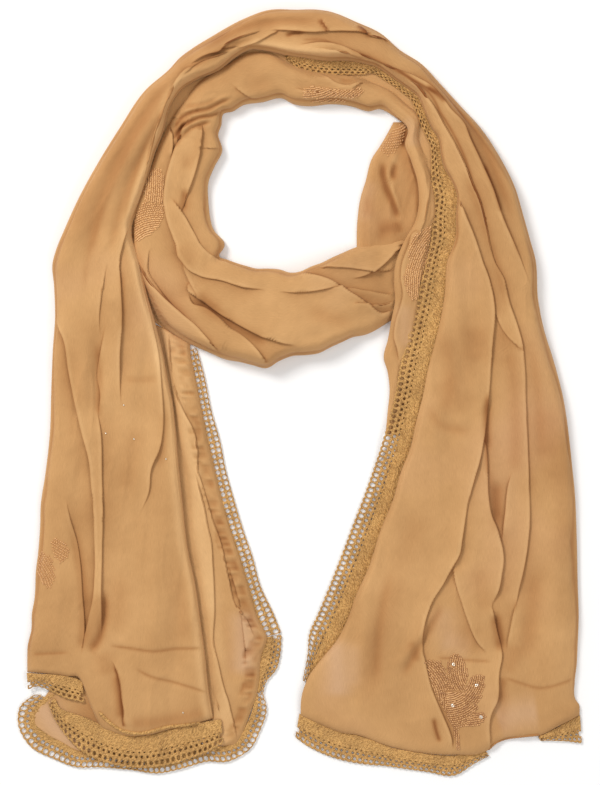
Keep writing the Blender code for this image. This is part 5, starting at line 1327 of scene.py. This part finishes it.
# Rows of a band: how many of its width's shares each takes from the sewn edge to the free one, the
# share of its cell that the hole takes, how high its thread stands and by how much of a cell it is
# set along.
fullPattern = ((12, 0, 0.45, 0), (2.8, 0.28, 0.45, 0), (4.6, 0.44, 0.35, 0.5), (5.8, 0.54, 0.3, 0))
openPattern = ((1.4, 0, 0.4, 0), (5.2, 0.72, 0.3, 0), (5.2, 0.74, 0.25, 0))
hemPattern = ((4.2, 0, 0.45, 0), (4.4, 0.58, 0.35, 0.5), (5.2, 0.74, 0.3, 0))
laceBands = {
    "laceNeckAndRightSide": {
        "node": "lace_neck_and_right_side",
        "pattern": fullPattern,
        # how much its holes widen, and between which shares of its length
        "open": (0.34, 0.56, 0.7),
        "tuck": 2.5,
        # sewn x, y, free x, y, height that it rests at
        "rows": (
            (284, 53.5, 285, 58, 9.2), (296, 57, 297, 67), (310, 59, 312, 72), (326, 61, 328, 74),
            (345, 61.5, 347, 74), (360, 63.5, 362, 74), (376, 67.5, 373, 73), (387, 74, 383, 79),
            (398, 81.5, 394, 86), (408, 88.5, 402.5, 92.5), (417, 96, 411, 100), (425, 112, 417.5, 116.5),
            (432, 128, 424.5, 132.5), (439, 142, 430.5, 146.5), (443, 160, 431.5, 163),
            (449, 177, 432, 180), (456, 194, 435, 198), (457, 213, 432, 214), (455.5, 238, 432, 238),
            (448, 262, 427, 262), (445, 290, 420, 288), (441, 317, 413, 314), (434, 346, 407, 342),
            (428, 370, 401, 366, 9), (422, 399, 396, 394, 7.6), (416, 421, 391, 416, 5.2),
            (409, 449, 383, 444, 2.6), (402, 472, 376, 466, 0), (393, 500, 367, 492), (381, 534, 354, 526),
            (369, 566, 342, 558), (357, 595, 331, 586), (345, 624, 319, 615), (332, 650, 310, 636),
            (318, 669, 308, 655), (307, 683, 303, 682),
        ),
    },
    "laceRightHem": {
        "node": "lace_right_hem",
        "pattern": fullPattern,
        "tuck": 1.2,
        "rows": (
            (299.2, 716.3, 295.4, 738, 0), (312, 722.6, 308, 747), (326, 729, 322, 754),
            (341, 734.6, 337, 759.5), (356, 737.8, 352, 763), (371, 742.4, 368, 765.5),
            (387, 748.7, 385, 767), (407, 753.5, 406, 770), (428, 756.7, 427, 773), (456, 758, 457, 776),
            (472, 756, 475, 765), (488, 754.4, 490, 757.2),
        ),
    },
    "laceRightCorner": {
        "node": "lace_right_corner",
        "pattern": fullPattern,
        "tuck": 1.2,
        "rows": (
            (540, 739.6, 541, 742, 0), (550, 734.6, 554, 742), (560, 729.4, 567, 742.4),
            (570, 723.8, 575, 743.2), (581.4, 718, 583, 743.8),
        ),
    },
    "laceLeftSide": {
        "node": "lace_left_side",
        "pattern": openPattern,
        "tuck": 2,
        "rows": (
            (189.5, 350, 196, 348, 0), (196, 382, 204.5, 380), (202, 412, 210.5, 410), (208, 442, 219, 440),
            (215, 472, 225, 470), (222, 502, 233, 499), (231, 532, 242, 529), (241, 562, 252, 558),
            (250, 592, 260, 587), (259, 622, 273, 615), (264.5, 638, 280.5, 634),
        ),
    },
    "laceLeftCorner": {
        "node": "lace_left_corner",
        "pattern": fullPattern,
        "tuck": 2,
        "rows": (
            (264.8, 638.4, 281, 636, 0), (262, 654, 279.5, 656), (260, 666, 276, 670), (259, 680, 266, 683),
            (257.5, 694, 262.5, 695),
        ),
    },
    "laceLeftHemBack": {
        "node": "lace_left_hem_back",
        "pattern": hemPattern,
        "tuck": 1.6,
        "rows": (
            (52, 696, 33, 696, 0), (38, 710, 19, 709), (32, 723, 17.5, 726), (44, 736, 30, 748),
            (60, 745, 53, 760), (78, 754, 74, 768), (100, 755, 98, 768.5), (129, 758, 129, 771),
            (158, 761, 158, 774.5), (182, 756, 186, 768.5), (201, 749, 205, 763), (226, 749, 230, 762),
            (238, 743, 250, 750), (246, 730, 259, 733), (253, 713, 266, 712), (257.4, 695, 263, 695),
        ),
    },
    "laceLeftHemUpper": {
        "node": "lace_left_hem_upper",
        "pattern": fullPattern,
        "tuck": 1,
        "rows": (
            (26, 674.8, 27, 690, 3), (36, 675.5, 35.5, 687), (46, 676, 45.5, 689.5), (57, 676.8, 57, 695),
            (67, 678.4, 66.5, 699), (76, 680.6, 76, 701), (82, 684, 83.5, 703),
        ),
    },
    "laceLeftHemFront": {
        "node": "lace_left_hem_front",
        "pattern": fullPattern,
        "tuck": 1,
        "rows": (
            (53, 700, 47.5, 704, 2.5), (59, 710, 53, 718), (74, 716, 65, 736), (88, 721, 80, 751),
            (102, 728, 97, 760), (115, 734, 112, 765), (130, 738, 130, 768), (150, 737, 152, 768),
            (168, 732, 171, 765), (184, 728.4, 187, 760), (203, 724, 206, 753, 4.7),
            (221, 720.8, 223, 743, 5),
        ),
    },
}


lacePitch = 5.6          # along the band
threadThick = 0.9
rimHeight = 0.12
meanRest = 1.45         # of the thread's top over what the lace rests on


# One crochet cell in its own square: its border, the crown of its thread and the hole's rim, sixteen
# points each. The crown is 56 parts of the border to 44 of the rim.
def cellPoints(hole):
    side = np.arange(4) / 4.0
    border = np.concatenate([
        np.stack([side, 0 * side], 1), np.stack([1 + 0 * side, side], 1),
        np.stack([1 - side, 1 + 0 * side], 1), np.stack([0 * side, 1 - side], 1)])
    turn = np.arctan2(border[:, 1] - 0.5, border[:, 0] - 0.5)
    rim = 0.5 + 0.5 * hole * np.stack([np.cos(turn), np.sin(turn)], 1)
    crown = 0.5 + 0.56 * (border - 0.5) + 0.44 * (rim - 0.5)
    return border, crown, rim


# An open cell: its points, its heights, low at the border, up at the crown and down at the rim, and its
# quads. Holes wander a little from the middle and in size.
def openCell(hole, stand, i, j, seed, widening):
    aside = 0.06 * valueNoise(i * 1.7, j * 3.1, seed)
    grow = 1 + 0.13 * valueNoise(i * 2.3, j * 1.9, seed + 5) + widening
    border, crown, rim = cellPoints(hole * grow)
    crown[:, 0] += 0.5 * aside
    rim[:, 0] += aside
    return np.concatenate([border, crown, rim]), np.repeat((rimHeight, stand, -0.25), 16), ringQuads(16, 3)


# A dense cell: a fine grid whose knots stand up in rows of loops.
def denseCell(share, stand, i):
    n = 4
    m = max(2, int(round(share / 1.25)))
    s, t = np.meshgrid(np.arange(n + 1) / n, np.arange(m + 1) / m, indexing="ij")
    knot = valueNoise((i * n + s * n) * 0.7, t * m * 0.7, 61)
    z = np.where(t > 0.99, rimHeight, stand * (0.6 + 0.6 * knot))
    index = np.arange((n + 1) * (m + 1)).reshape(n + 1, m + 1)
    return np.stack([s.ravel(), t.ravel()], 1), z.ravel(), gridQuads(index)


# A band's cells, row by row from the sewn edge: places as cells along and shares across, heights over
# the rest and quads. Points that two cells share are merged.
def cellsOfBand(spec, count, seed):
    shares = np.array([row[0] for row in spec["pattern"]])
    bounds = np.concatenate([[0], np.cumsum(shares)]) / shares.sum()
    wider, fromShare, toShare = spec.get("open", (0.0, 0.0, 1.0))
    cells, heights, faces = [], [], []
    total = 0
    for j, (share, hole, stand, setAlong) in enumerate(spec["pattern"]):
        # A row set along by half a cell leaves its last cell out.
        for i in range(count - 1 if setAlong else count):
            if hole:
                widening = wider * smoothStep((i / count - fromShare) / (toShare - fromShare))
                block, z, quads = openCell(hole, stand, i, j, seed, widening)
                block[:, 0] += setAlong
            else:
                block, z, quads = denseCell(share, stand, i)
            across = bounds[j] + (bounds[j + 1] - bounds[j]) * block[:, 1]
            if j == len(spec["pattern"]) - 1:
                # The free edge bulges outwards at every cell.
                bulge = 0.045 * np.sin(np.pi * (block[:, 0] - setAlong))
                across = across + np.where(block[:, 1] > 0.99, bulge, 0.0)
            cells.append(np.stack([i + block[:, 0], across], 1))
            heights.append(z)
            faces.append(quads + total)
            total += len(block)
    cells, heights, faces = np.concatenate(cells), np.concatenate(heights), np.concatenate(faces)
    merged = np.round(cells * 2000).astype(np.int64)
    _, kept, number = np.unique(merged, axis=0, return_index=True, return_inverse=True)
    return cells[kept], heights[kept], number.ravel()[faces]


def makeLace(name, spec, seed):
    rows = filledRows(spec["rows"])
    sewn, free = onTable(rows[:, 0:2]), onTable(rows[:, 2:4])
    sewn = sewn - (free - sewn) / np.linalg.norm(free - sewn, axis=1)[:, None] * spec["tuck"]
    knots = runOf(0.4 * sewn + 0.6 * free)
    count = max(3, int(round(knots[-1] / lacePitch)))
    cells, heights, quads = cellsOfBand(spec, count, seed)
    at = cells[:, 0] / count * knots[-1]
    across = cells[:, 1]
    sewnAt, freeAt = smoothBetween(at, knots, sewn), smoothBetween(at, knots, free)
    rest = smoothBetween(at, knots, rows[:, 4])[:, 0]
    plan = sewnAt + (freeAt - sewnAt) * across[:, None]
    ripple = 0.5 * valueNoise(at / 9.0, across * 2, seed + 2)
    ripple = ripple + 0.5 * valueNoise(at / 23.0, across, seed + 3)
    z = rest + meanRest + heights + 0.35 * (1 + ripple)
    mesh = quadMesh(name, np.concatenate([plan, z[:, None]], axis=1), quads)
    measureCloth(mesh, np.stack([across * np.linalg.norm(freeAt - sewnAt, axis=1), at], 1))
    mesh.validate()
    if np.mean([polygon.normal.z for polygon in mesh.polygons[:200]]) < 0:
        mesh.flip_normals()
    piece = newPiece(name, mesh, laceMaterial)
    giveWall(piece, "thread", threadThick)
    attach(piece, "root")
    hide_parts(spec["node"])
    return piece


lacePieces = [makeLace(name, spec, 200 + 20 * number)
              for number, (name, spec) in enumerate(laceBands.items())]
print("stole: lace made", flush=True)

# Embroidery: tone on tone chain stitch leaves and a flower, with a few sequins. Rays from above find
# the cloth that shows at a place, so that stitches lie on what the eye meets.
graph = bpy.context.evaluated_depsgraph_get()
shown = {piece.name: BVHTree.FromObject(piece, graph)
         for piece in [*outerPieces, *innerPieces, *lacePieces]}


def topAt(place):
    best = None
    for name, tree in shown.items():
        hit, normal, _, _ = tree.ray_cast(Vector((place[0] * mm, place[1] * mm, 0.2)), Vector((0, 0, -1)))
        if hit is not None and (best is None or hit.z > best[1].z):
            best = (name, hit, normal)
    return best


# Even-odd test of points against an outline.
def insideOutline(points, outline):
    inside = np.zeros(len(points), bool)
    x, y = points[:, 0], points[:, 1]
    for (ax, ay), (bx, by) in zip(outline, np.roll(outline, -1, axis=0)):
        crosses = (ay > y) != (by > y)
        slope = (bx - ax) / np.where(by == ay, 1e-9, by - ay)
        inside ^= crosses & (x < ax + slope * (y - ay))
    return inside


stitchSpec = {"along": 1.65, "apart": 2.0, "lean": 36, "long": 1.35, "wide": 0.68, "tall": 0.8}


# Rows of stitches that fill an outline. Rows follow a heading, in degrees from the x axis, which turns
# by the bend for each millimetre along them; every other stitch leans the other way.
def stitchRows(outline, heading, bend, seed, spread):
    outline = onTable(outline)
    middle = outline.mean(0)
    reach = np.abs(outline - middle).max() * 1.5
    s, t = np.meshgrid(np.arange(-reach, reach, stitchSpec["along"] * math.sqrt(spread)),
                       np.arange(-reach, reach, stitchSpec["apart"] * spread), indexing="ij")
    odd = (np.arange(t.shape[1]) % 2)[None, :]
    s = s + 0.5 * stitchSpec["along"] * odd
    s = s + 0.35 * valueNoise(s / 1.1, t / 1.1, seed)
    t = t + 0.30 * valueNoise(s / 1.3, t / 1.1, seed + 1)
    turn = math.radians(heading) + math.radians(bend) * s
    # A bent row is an arc: the place along it is turned by half the change of heading.
    half = math.radians(heading) + 0.5 * math.radians(bend) * s
    x = middle[0] + s * np.cos(half) - t * np.sin(turn)
    y = middle[1] + s * np.sin(half) + t * np.cos(turn)
    lean = np.where(odd > 0, 1.0, -1.0) * math.radians(stitchSpec["lean"]) + 0 * s
    lean = lean + 0.25 * valueNoise(s * 0.9, t * 0.9, seed + 2)
    places = np.stack([x.ravel(), y.ravel()], 1)
    keep = insideOutline(places, outline)
    return places[keep], (turn + lean).ravel()[keep]


# One stitch: a long dome on a wider low skirt, painted dark, which stands for the shade between it and
# the next. Three rings of eight points, the first the skirt, each as shares of the stitch's length and
# width and its height.
def stitchShape():
    ring = unitCircle(8) * (stitchSpec["long"], stitchSpec["wide"])
    tall = stitchSpec["tall"]
    points = np.concatenate([
        np.concatenate([ring * share, np.full((8, 1), z)], 1)
        for share, z in (((1.15, 1.6), -0.15), ((0.85, 0.80), 0.72 * tall), ((0.40, 0.40), tall))])
    cap = np.array([[16, 17, 18, 19], [16, 19, 20, 21], [21, 22, 23, 16]])
    return points, np.concatenate([ringQuads(8, 3), cap])


# A small shape's points where they stand on the cloth, turned to its normal and a heading in plan.
def standOn(shape, place, normal, heading):
    along = Vector((math.cos(heading), math.sin(heading), 0))
    up = normal if normal.z > 0 else -normal
    along = (along - up * along.dot(up)).normalized()
    return np.array(place[:]) / mm + shape @ np.array([along[:], up.cross(along)[:], up[:]])


# One mesh of many shapes with the same quads.
def meshOfShapes(name, shapes, quads):
    faces = [quads + number * len(shapes[0]) for number in range(len(shapes))]
    return quadMesh(name, np.concatenate(shapes), np.concatenate(faces))


# Stitches that fill the leaves, on one cloth alone and not on its steep sides. A stitch has its own
# tone, and its rings go from painted shade at the skirt to a painted highlight at the crown.
def makeStitches(name, spec):
    shape, quads = stitchShape()
    steepest = 0.55
    seed, paintedContrast = spec["seed"], spec["paintedContrast"]
    stitches, paintedTones = [], []
    for number, (outline, heading, bend) in enumerate(spec["leaves"]):
        places, headings = stitchRows(outline, heading, bend, seed + number, spec["spread"])
        for place, turn in zip(places, headings):
            top = topAt(place)
            if top is None or top[0] != spec["on"].name or top[2].z < steepest:
                continue
            own = valueNoise(place[0] * 0.9, place[1] * 0.9, seed + 40)
            # Painted shade at the skirt, the stitch's own tone in the middle ring and a painted highlight at
            # the crown.
            levels = (0.42 - 0.42 * paintedContrast, 0.5 + 0.25 * own * paintedContrast, 0.62 + (0.2 + 0.15 * own) * paintedContrast)
            paintedTones.append(np.repeat(levels, 8) - spec["depth"])
            stitches.append(standOn(shape, top[1], top[2], turn))
    mesh = meshOfShapes(name, stitches, quads)
    pointValues(mesh, "paintedShadeAndLight", np.concatenate(paintedTones))
    mesh.validate()
    piece = newPiece(name, mesh, threadMaterial)
    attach(piece, "root")
    print("stole:", name, len(stitches), "stitches", flush=True)


# Sequins: shallow cups with a hole, each sewn at its own tilt. The rings go from the outer edge over the
# top to the hole and back below, as shares of the radius and heights.
def makeSequins(name, spec):
    rings = ((1.0, 0.30), (0.72, 0.42), (0.22, 0.22), (0.22, 0.05), (0.72, 0.2), (1.0, 0.12))
    segments = 12
    sewnHeight = 0.5
    circle = unitCircle(segments)
    shape = np.concatenate([np.concatenate([circle * share * spec["radius"], np.full((segments, 1), z)], 1)
                            for share, z in rings])
    shape[:, 2] += sewnHeight
    sequins = []
    for number, spot in enumerate(spec["spots"]):
        top = topAt(onTable(spot))
        if top is None or top[0] != spec["on"].name:
            continue
        sideways = 0.22 * math.sin(number * 2.1 + spec["seed"])
        lengthways = 0.25 * math.cos(number * 1.7 + spec["seed"])
        tilted = (top[2] + Vector((sideways, lengthways, 0))).normalized()
        sequins.append(standOn(shape, top[1], tilted, number))
    mesh = meshOfShapes(name, sequins, ringQuads(segments, len(rings), closed=True))
    piece = newPiece(name, mesh, sequinMaterial)
    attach(piece, "root")


# on: the cloth under it; spread: how far apart rows stand; contrast of painted light and shade: how far
# each stitch's painted shade at the skirt and painted highlight on its crown, with its own tone, stand
# out from the cloth; depth: how much deeper it all is; leaves: outline, heading and bend
embroidery = {
    "flowerStitches": {
        "on": rightTailCloth, "seed": 301, "spread": 1.04, "paintedContrast": 1.25, "depth": 0.13,
        "leaves": (
            (((446, 690), (446, 676), (448, 664), (451, 657), (455, 653.5), (461, 657), (466, 665),
              (468, 676), (466, 686), (464, 692)), 95, -1.6),
            (((425, 662), (433, 659.5), (440, 661), (445, 667), (446, 678), (446, 691), (447, 704),
              (447, 716), (440, 702), (433, 688), (428, 675)), 118, 1.2),
            (((464, 693), (467, 687), (469, 680), (474, 676), (480, 674.5), (485, 676), (485, 686),
              (482, 696), (477, 704), (470, 704), (463, 701)), 62, 1.6),
            (((446, 692), (464, 693), (463, 701), (470, 705), (477, 705), (478, 711), (472, 716),
              (467, 726), (458, 730), (452, 727), (447, 716)), 24, 1.4),
            (((470, 717), (477, 713), (482, 712.5), (486, 716), (484, 722), (477, 727), (469, 727.5),
              (466, 726)), 8, 1.0),
            (((453, 729), (458, 730), (460, 740), (461, 750), (456.5, 750), (455, 740)), 92, 0),
        ),
    },
    "leftBandStitches": {
        "on": innerCloth, "seed": 341, "spread": 1.05, "paintedContrast": 0.9, "depth": -0.08,
        "leaves": (
            (((148, 176), (153, 169), (161, 169), (164, 176), (164.5, 190), (163.5, 204), (146, 202),
              (144, 192)), 88, 0.3),
            (((144, 203), (163.5, 205), (163.5, 216), (160, 226), (152, 234), (141, 241), (135, 241),
              (134, 224), (138, 212)), 15, -1.4),
        ),
    },
    "neckStitches": {
        "on": innerCloth, "seed": 371, "spread": 1.0, "paintedContrast": 0.9, "depth": -0.02,
        "leaves": (
            (((302, 97), (304, 90), (312, 87), (322, 88), (334, 90), (346, 91), (358, 88), (366, 91),
              (358, 97), (346, 101), (330, 102.5), (312, 101.5)), 25, 0.9),
        ),
    },
    "rightBandStitches": {
        "on": innerCloth, "seed": 391, "spread": 1.0, "paintedContrast": 0.85, "depth": -0.07,
        "leaves": (
            (((409, 262), (408, 250), (411, 240), (417, 233), (425, 228), (432, 226), (434, 246),
              (430, 262), (424, 284), (418, 300), (412, 300), (406, 290), (403, 278)), 70, -0.8),
        ),
    },
    "drapeStitches": {
        "on": drapeCloth, "seed": 401, "spread": 1.25, "paintedContrast": 0.45, "depth": 0.0,
        "leaves": (
            (((378, 148), (384, 139), (392, 130), (400, 124), (406, 123), (404, 138), (397, 151),
              (388, 156)), 10, 1.6),
        ),
    },
    "leafStitches": {
        "on": leftTailCloth, "seed": 411, "spread": 1.3, "paintedContrast": 0.45, "depth": 0.0,
        "leaves": (
            (((50, 541), (56, 538), (64, 541), (69, 549), (68, 559), (60, 563), (54, 556)), 150, 0.4),
            (((36, 556), (42, 552), (50, 556), (55, 566), (55, 580), (49, 590), (42, 584), (37, 572)),
             120, 0.8),
        ),
    },
}
sequinGroups = {
    "flowerSequins": {
        "on": rightTailCloth, "seed": 1, "radius": 1.8,
        "spots": ((453.6, 664.5), (476.6, 685.6), (481.2, 717.3), (452.8, 705.7)),
    },
    "tailSequins": {
        "on": leftTailCloth, "seed": 2, "radius": 0.8,
        "spots": ((124, 405), (106, 433), (134, 439), (166, 459), (183, 713)),
    },
}
for name, spec in embroidery.items():
    makeStitches(name, spec)
for name, spec in sequinGroups.items():
    makeSequins(name, spec)


# Cord sewn along an edge: a round tube of eight sides on what shows there, thin at its ends.
def makeCord(name, spec):
    sides = 8
    step = 1.2
    radius = spec["radius"]
    knots = onTable(spec["places"])
    run = runOf(knots)
    at = np.arange(0, run[-1], step)
    line = smoothBetween(at, run, knots)
    tops = [topAt(place) for place in line]
    lowest = 0.6
    height = np.array([lowest if top is None else max(lowest, top[1].z / mm) for top in tops])
    height = np.convolve(np.pad(height, 2, mode="edge"), softWeights, mode="valid") + 0.35 * radius
    toLeft = headingsOf(line)[1]
    circle = unitCircle(sides)
    thick = radius * (1 + 0.16 * np.sin(at * 2.1)) * np.minimum(1, 0.3 + np.minimum(at, at[-1] - at) / 3.0)
    plan = line[:, None, :] + toLeft[:, None, :] * (circle[None, :, :1] * thick[:, None, None])
    z = height[:, None] + circle[None, :, 1] * thick[:, None]
    points = np.concatenate([plan, z[..., None]], axis=-1).reshape(-1, 3)
    rows = len(at)
    index = np.arange(rows * sides).reshape(rows, sides)
    quads = gridQuads(np.concatenate([index, index[:, :1]], axis=1))[:, [0, 3, 2, 1]]
    caps = [index[0].tolist(), index[-1, ::-1].tolist()]
    mesh = bpy.data.meshes.new(name)
    mesh.from_pydata((points * mm).tolist(), [], quads.tolist() + caps)
    mesh.polygons.foreach_set("use_smooth", np.ones(len(mesh.polygons), bool))
    roundStep = 0.8
    measureCloth(mesh, np.stack([np.tile(np.arange(sides) * roundStep, rows), np.repeat(at, sides)], axis=1))
    # Painted shade: on cloth the cord is a little darker than the open cloth.
    pointValues(mesh, "paintedShadeAndLight", np.full(sides * rows, 0.45))
    piece = newPiece(name, mesh, spec["material"])
    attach(piece, "root")


edgeCords = {
    "leftHemCord": {
        "radius": 1.7, "material": laceMaterial,
        "places": ((99, 712), (104, 718), (112, 725), (122, 731), (138, 734), (153, 731.5),
                   (163, 728.5), (180, 726.5), (200, 723.5)),
    },
    "rightHemCord": {
        "radius": 1.2, "material": clothMaterial,
        "places": ((489, 751.5), (494, 745.8), (506, 740.3), (518, 738.2), (528, 737), (541, 736)),
    },
}
for name, spec in edgeCords.items():
    makeCord(name, spec)
print("stole: embroidery made", flush=True)

# The pale table, soft studio light and the camera, all in metres.
studio = {
    "tableReach": 6.0,
    # just under the stole, so that the two don't touch
    "tableLevel": -0.0004,
    "tableColour": (0.94, 0.94, 0.94, 1),
    "keyLight": {"place": (-1.5, 1.5, 1.9), "size": 0.9, "power": 49, "colour": (1.0, 0.985, 0.96)},
    "fillLight": {"place": (1.7, -0.9, 2.4), "size": 1.6, "power": 18, "colour": (1.0, 0.98, 0.96)},
    "roomLight": 0.63,
    "cameraHeight": 2.4,
    # how tall the view is at the middle of the stole's height, and where its middle is
    "viewTall": 0.785,
    "viewLevel": 0.012,
    "viewMiddle": (0.0, -0.0005),
}
reach = studio["tableReach"]
tableCorners = [(x * reach, y * reach, studio["tableLevel"])
                for x, y in ((-1, -1), (1, -1), (1, 1), (-1, 1))]
tableMesh = bpy.data.meshes.new("paleTable")
tableMesh.from_pydata(tableCorners, [], [(0, 1, 2, 3)])
tableMaterial, tableTree, tableShader = newMaterial("paleTable")
setInputs(tableTree, tableShader, {"Base Color": studio["tableColour"], "Roughness": 0.9,
                                   "Specular IOR Level": 0.1})
newPiece("paleTable", tableMesh, tableMaterial)


# A round lamp that faces the stole's middle.
def areaLight(name, spec):
    data = bpy.data.lights.new(name, "AREA")
    data.shape = "DISK"
    data.size = spec["size"]
    data.energy = spec["power"]
    data.color = spec["colour"]
    lamp = bpy.data.objects.new(name, data)
    lamp.location = spec["place"]
    lamp.rotation_euler = (-Vector(spec["place"])).to_track_quat("-Z", "Y").to_euler()
    bpy.context.scene.collection.objects.link(lamp)


areaLight("keyLight", studio["keyLight"])
areaLight("fillLight", studio["fillLight"])
world = bpy.data.worlds.new("studio")
bpy.context.scene.world = world
world.use_nodes = True
world.node_tree.nodes["Background"].inputs["Color"].default_value = (1, 1, 1, 1)
world.node_tree.nodes["Background"].inputs["Strength"].default_value = studio["roomLight"]

cameraData = bpy.data.cameras.new("camera")
cameraData.sensor_fit = "VERTICAL"
cameraData.sensor_height = 36.0
distance = studio["cameraHeight"] - studio["viewLevel"]
cameraData.lens = cameraData.sensor_height * distance / studio["viewTall"]
cameraData.clip_start = 0.1
cameraData.clip_end = 20.0
camera = bpy.data.objects.new("camera", cameraData)
camera.location = (*studio["viewMiddle"], studio["cameraHeight"])
bpy.context.scene.collection.objects.link(camera)
bpy.context.scene.camera = camera
bpy.context.scene.view_settings.view_transform = "Standard"
bpy.context.scene.view_settings.look = "None"
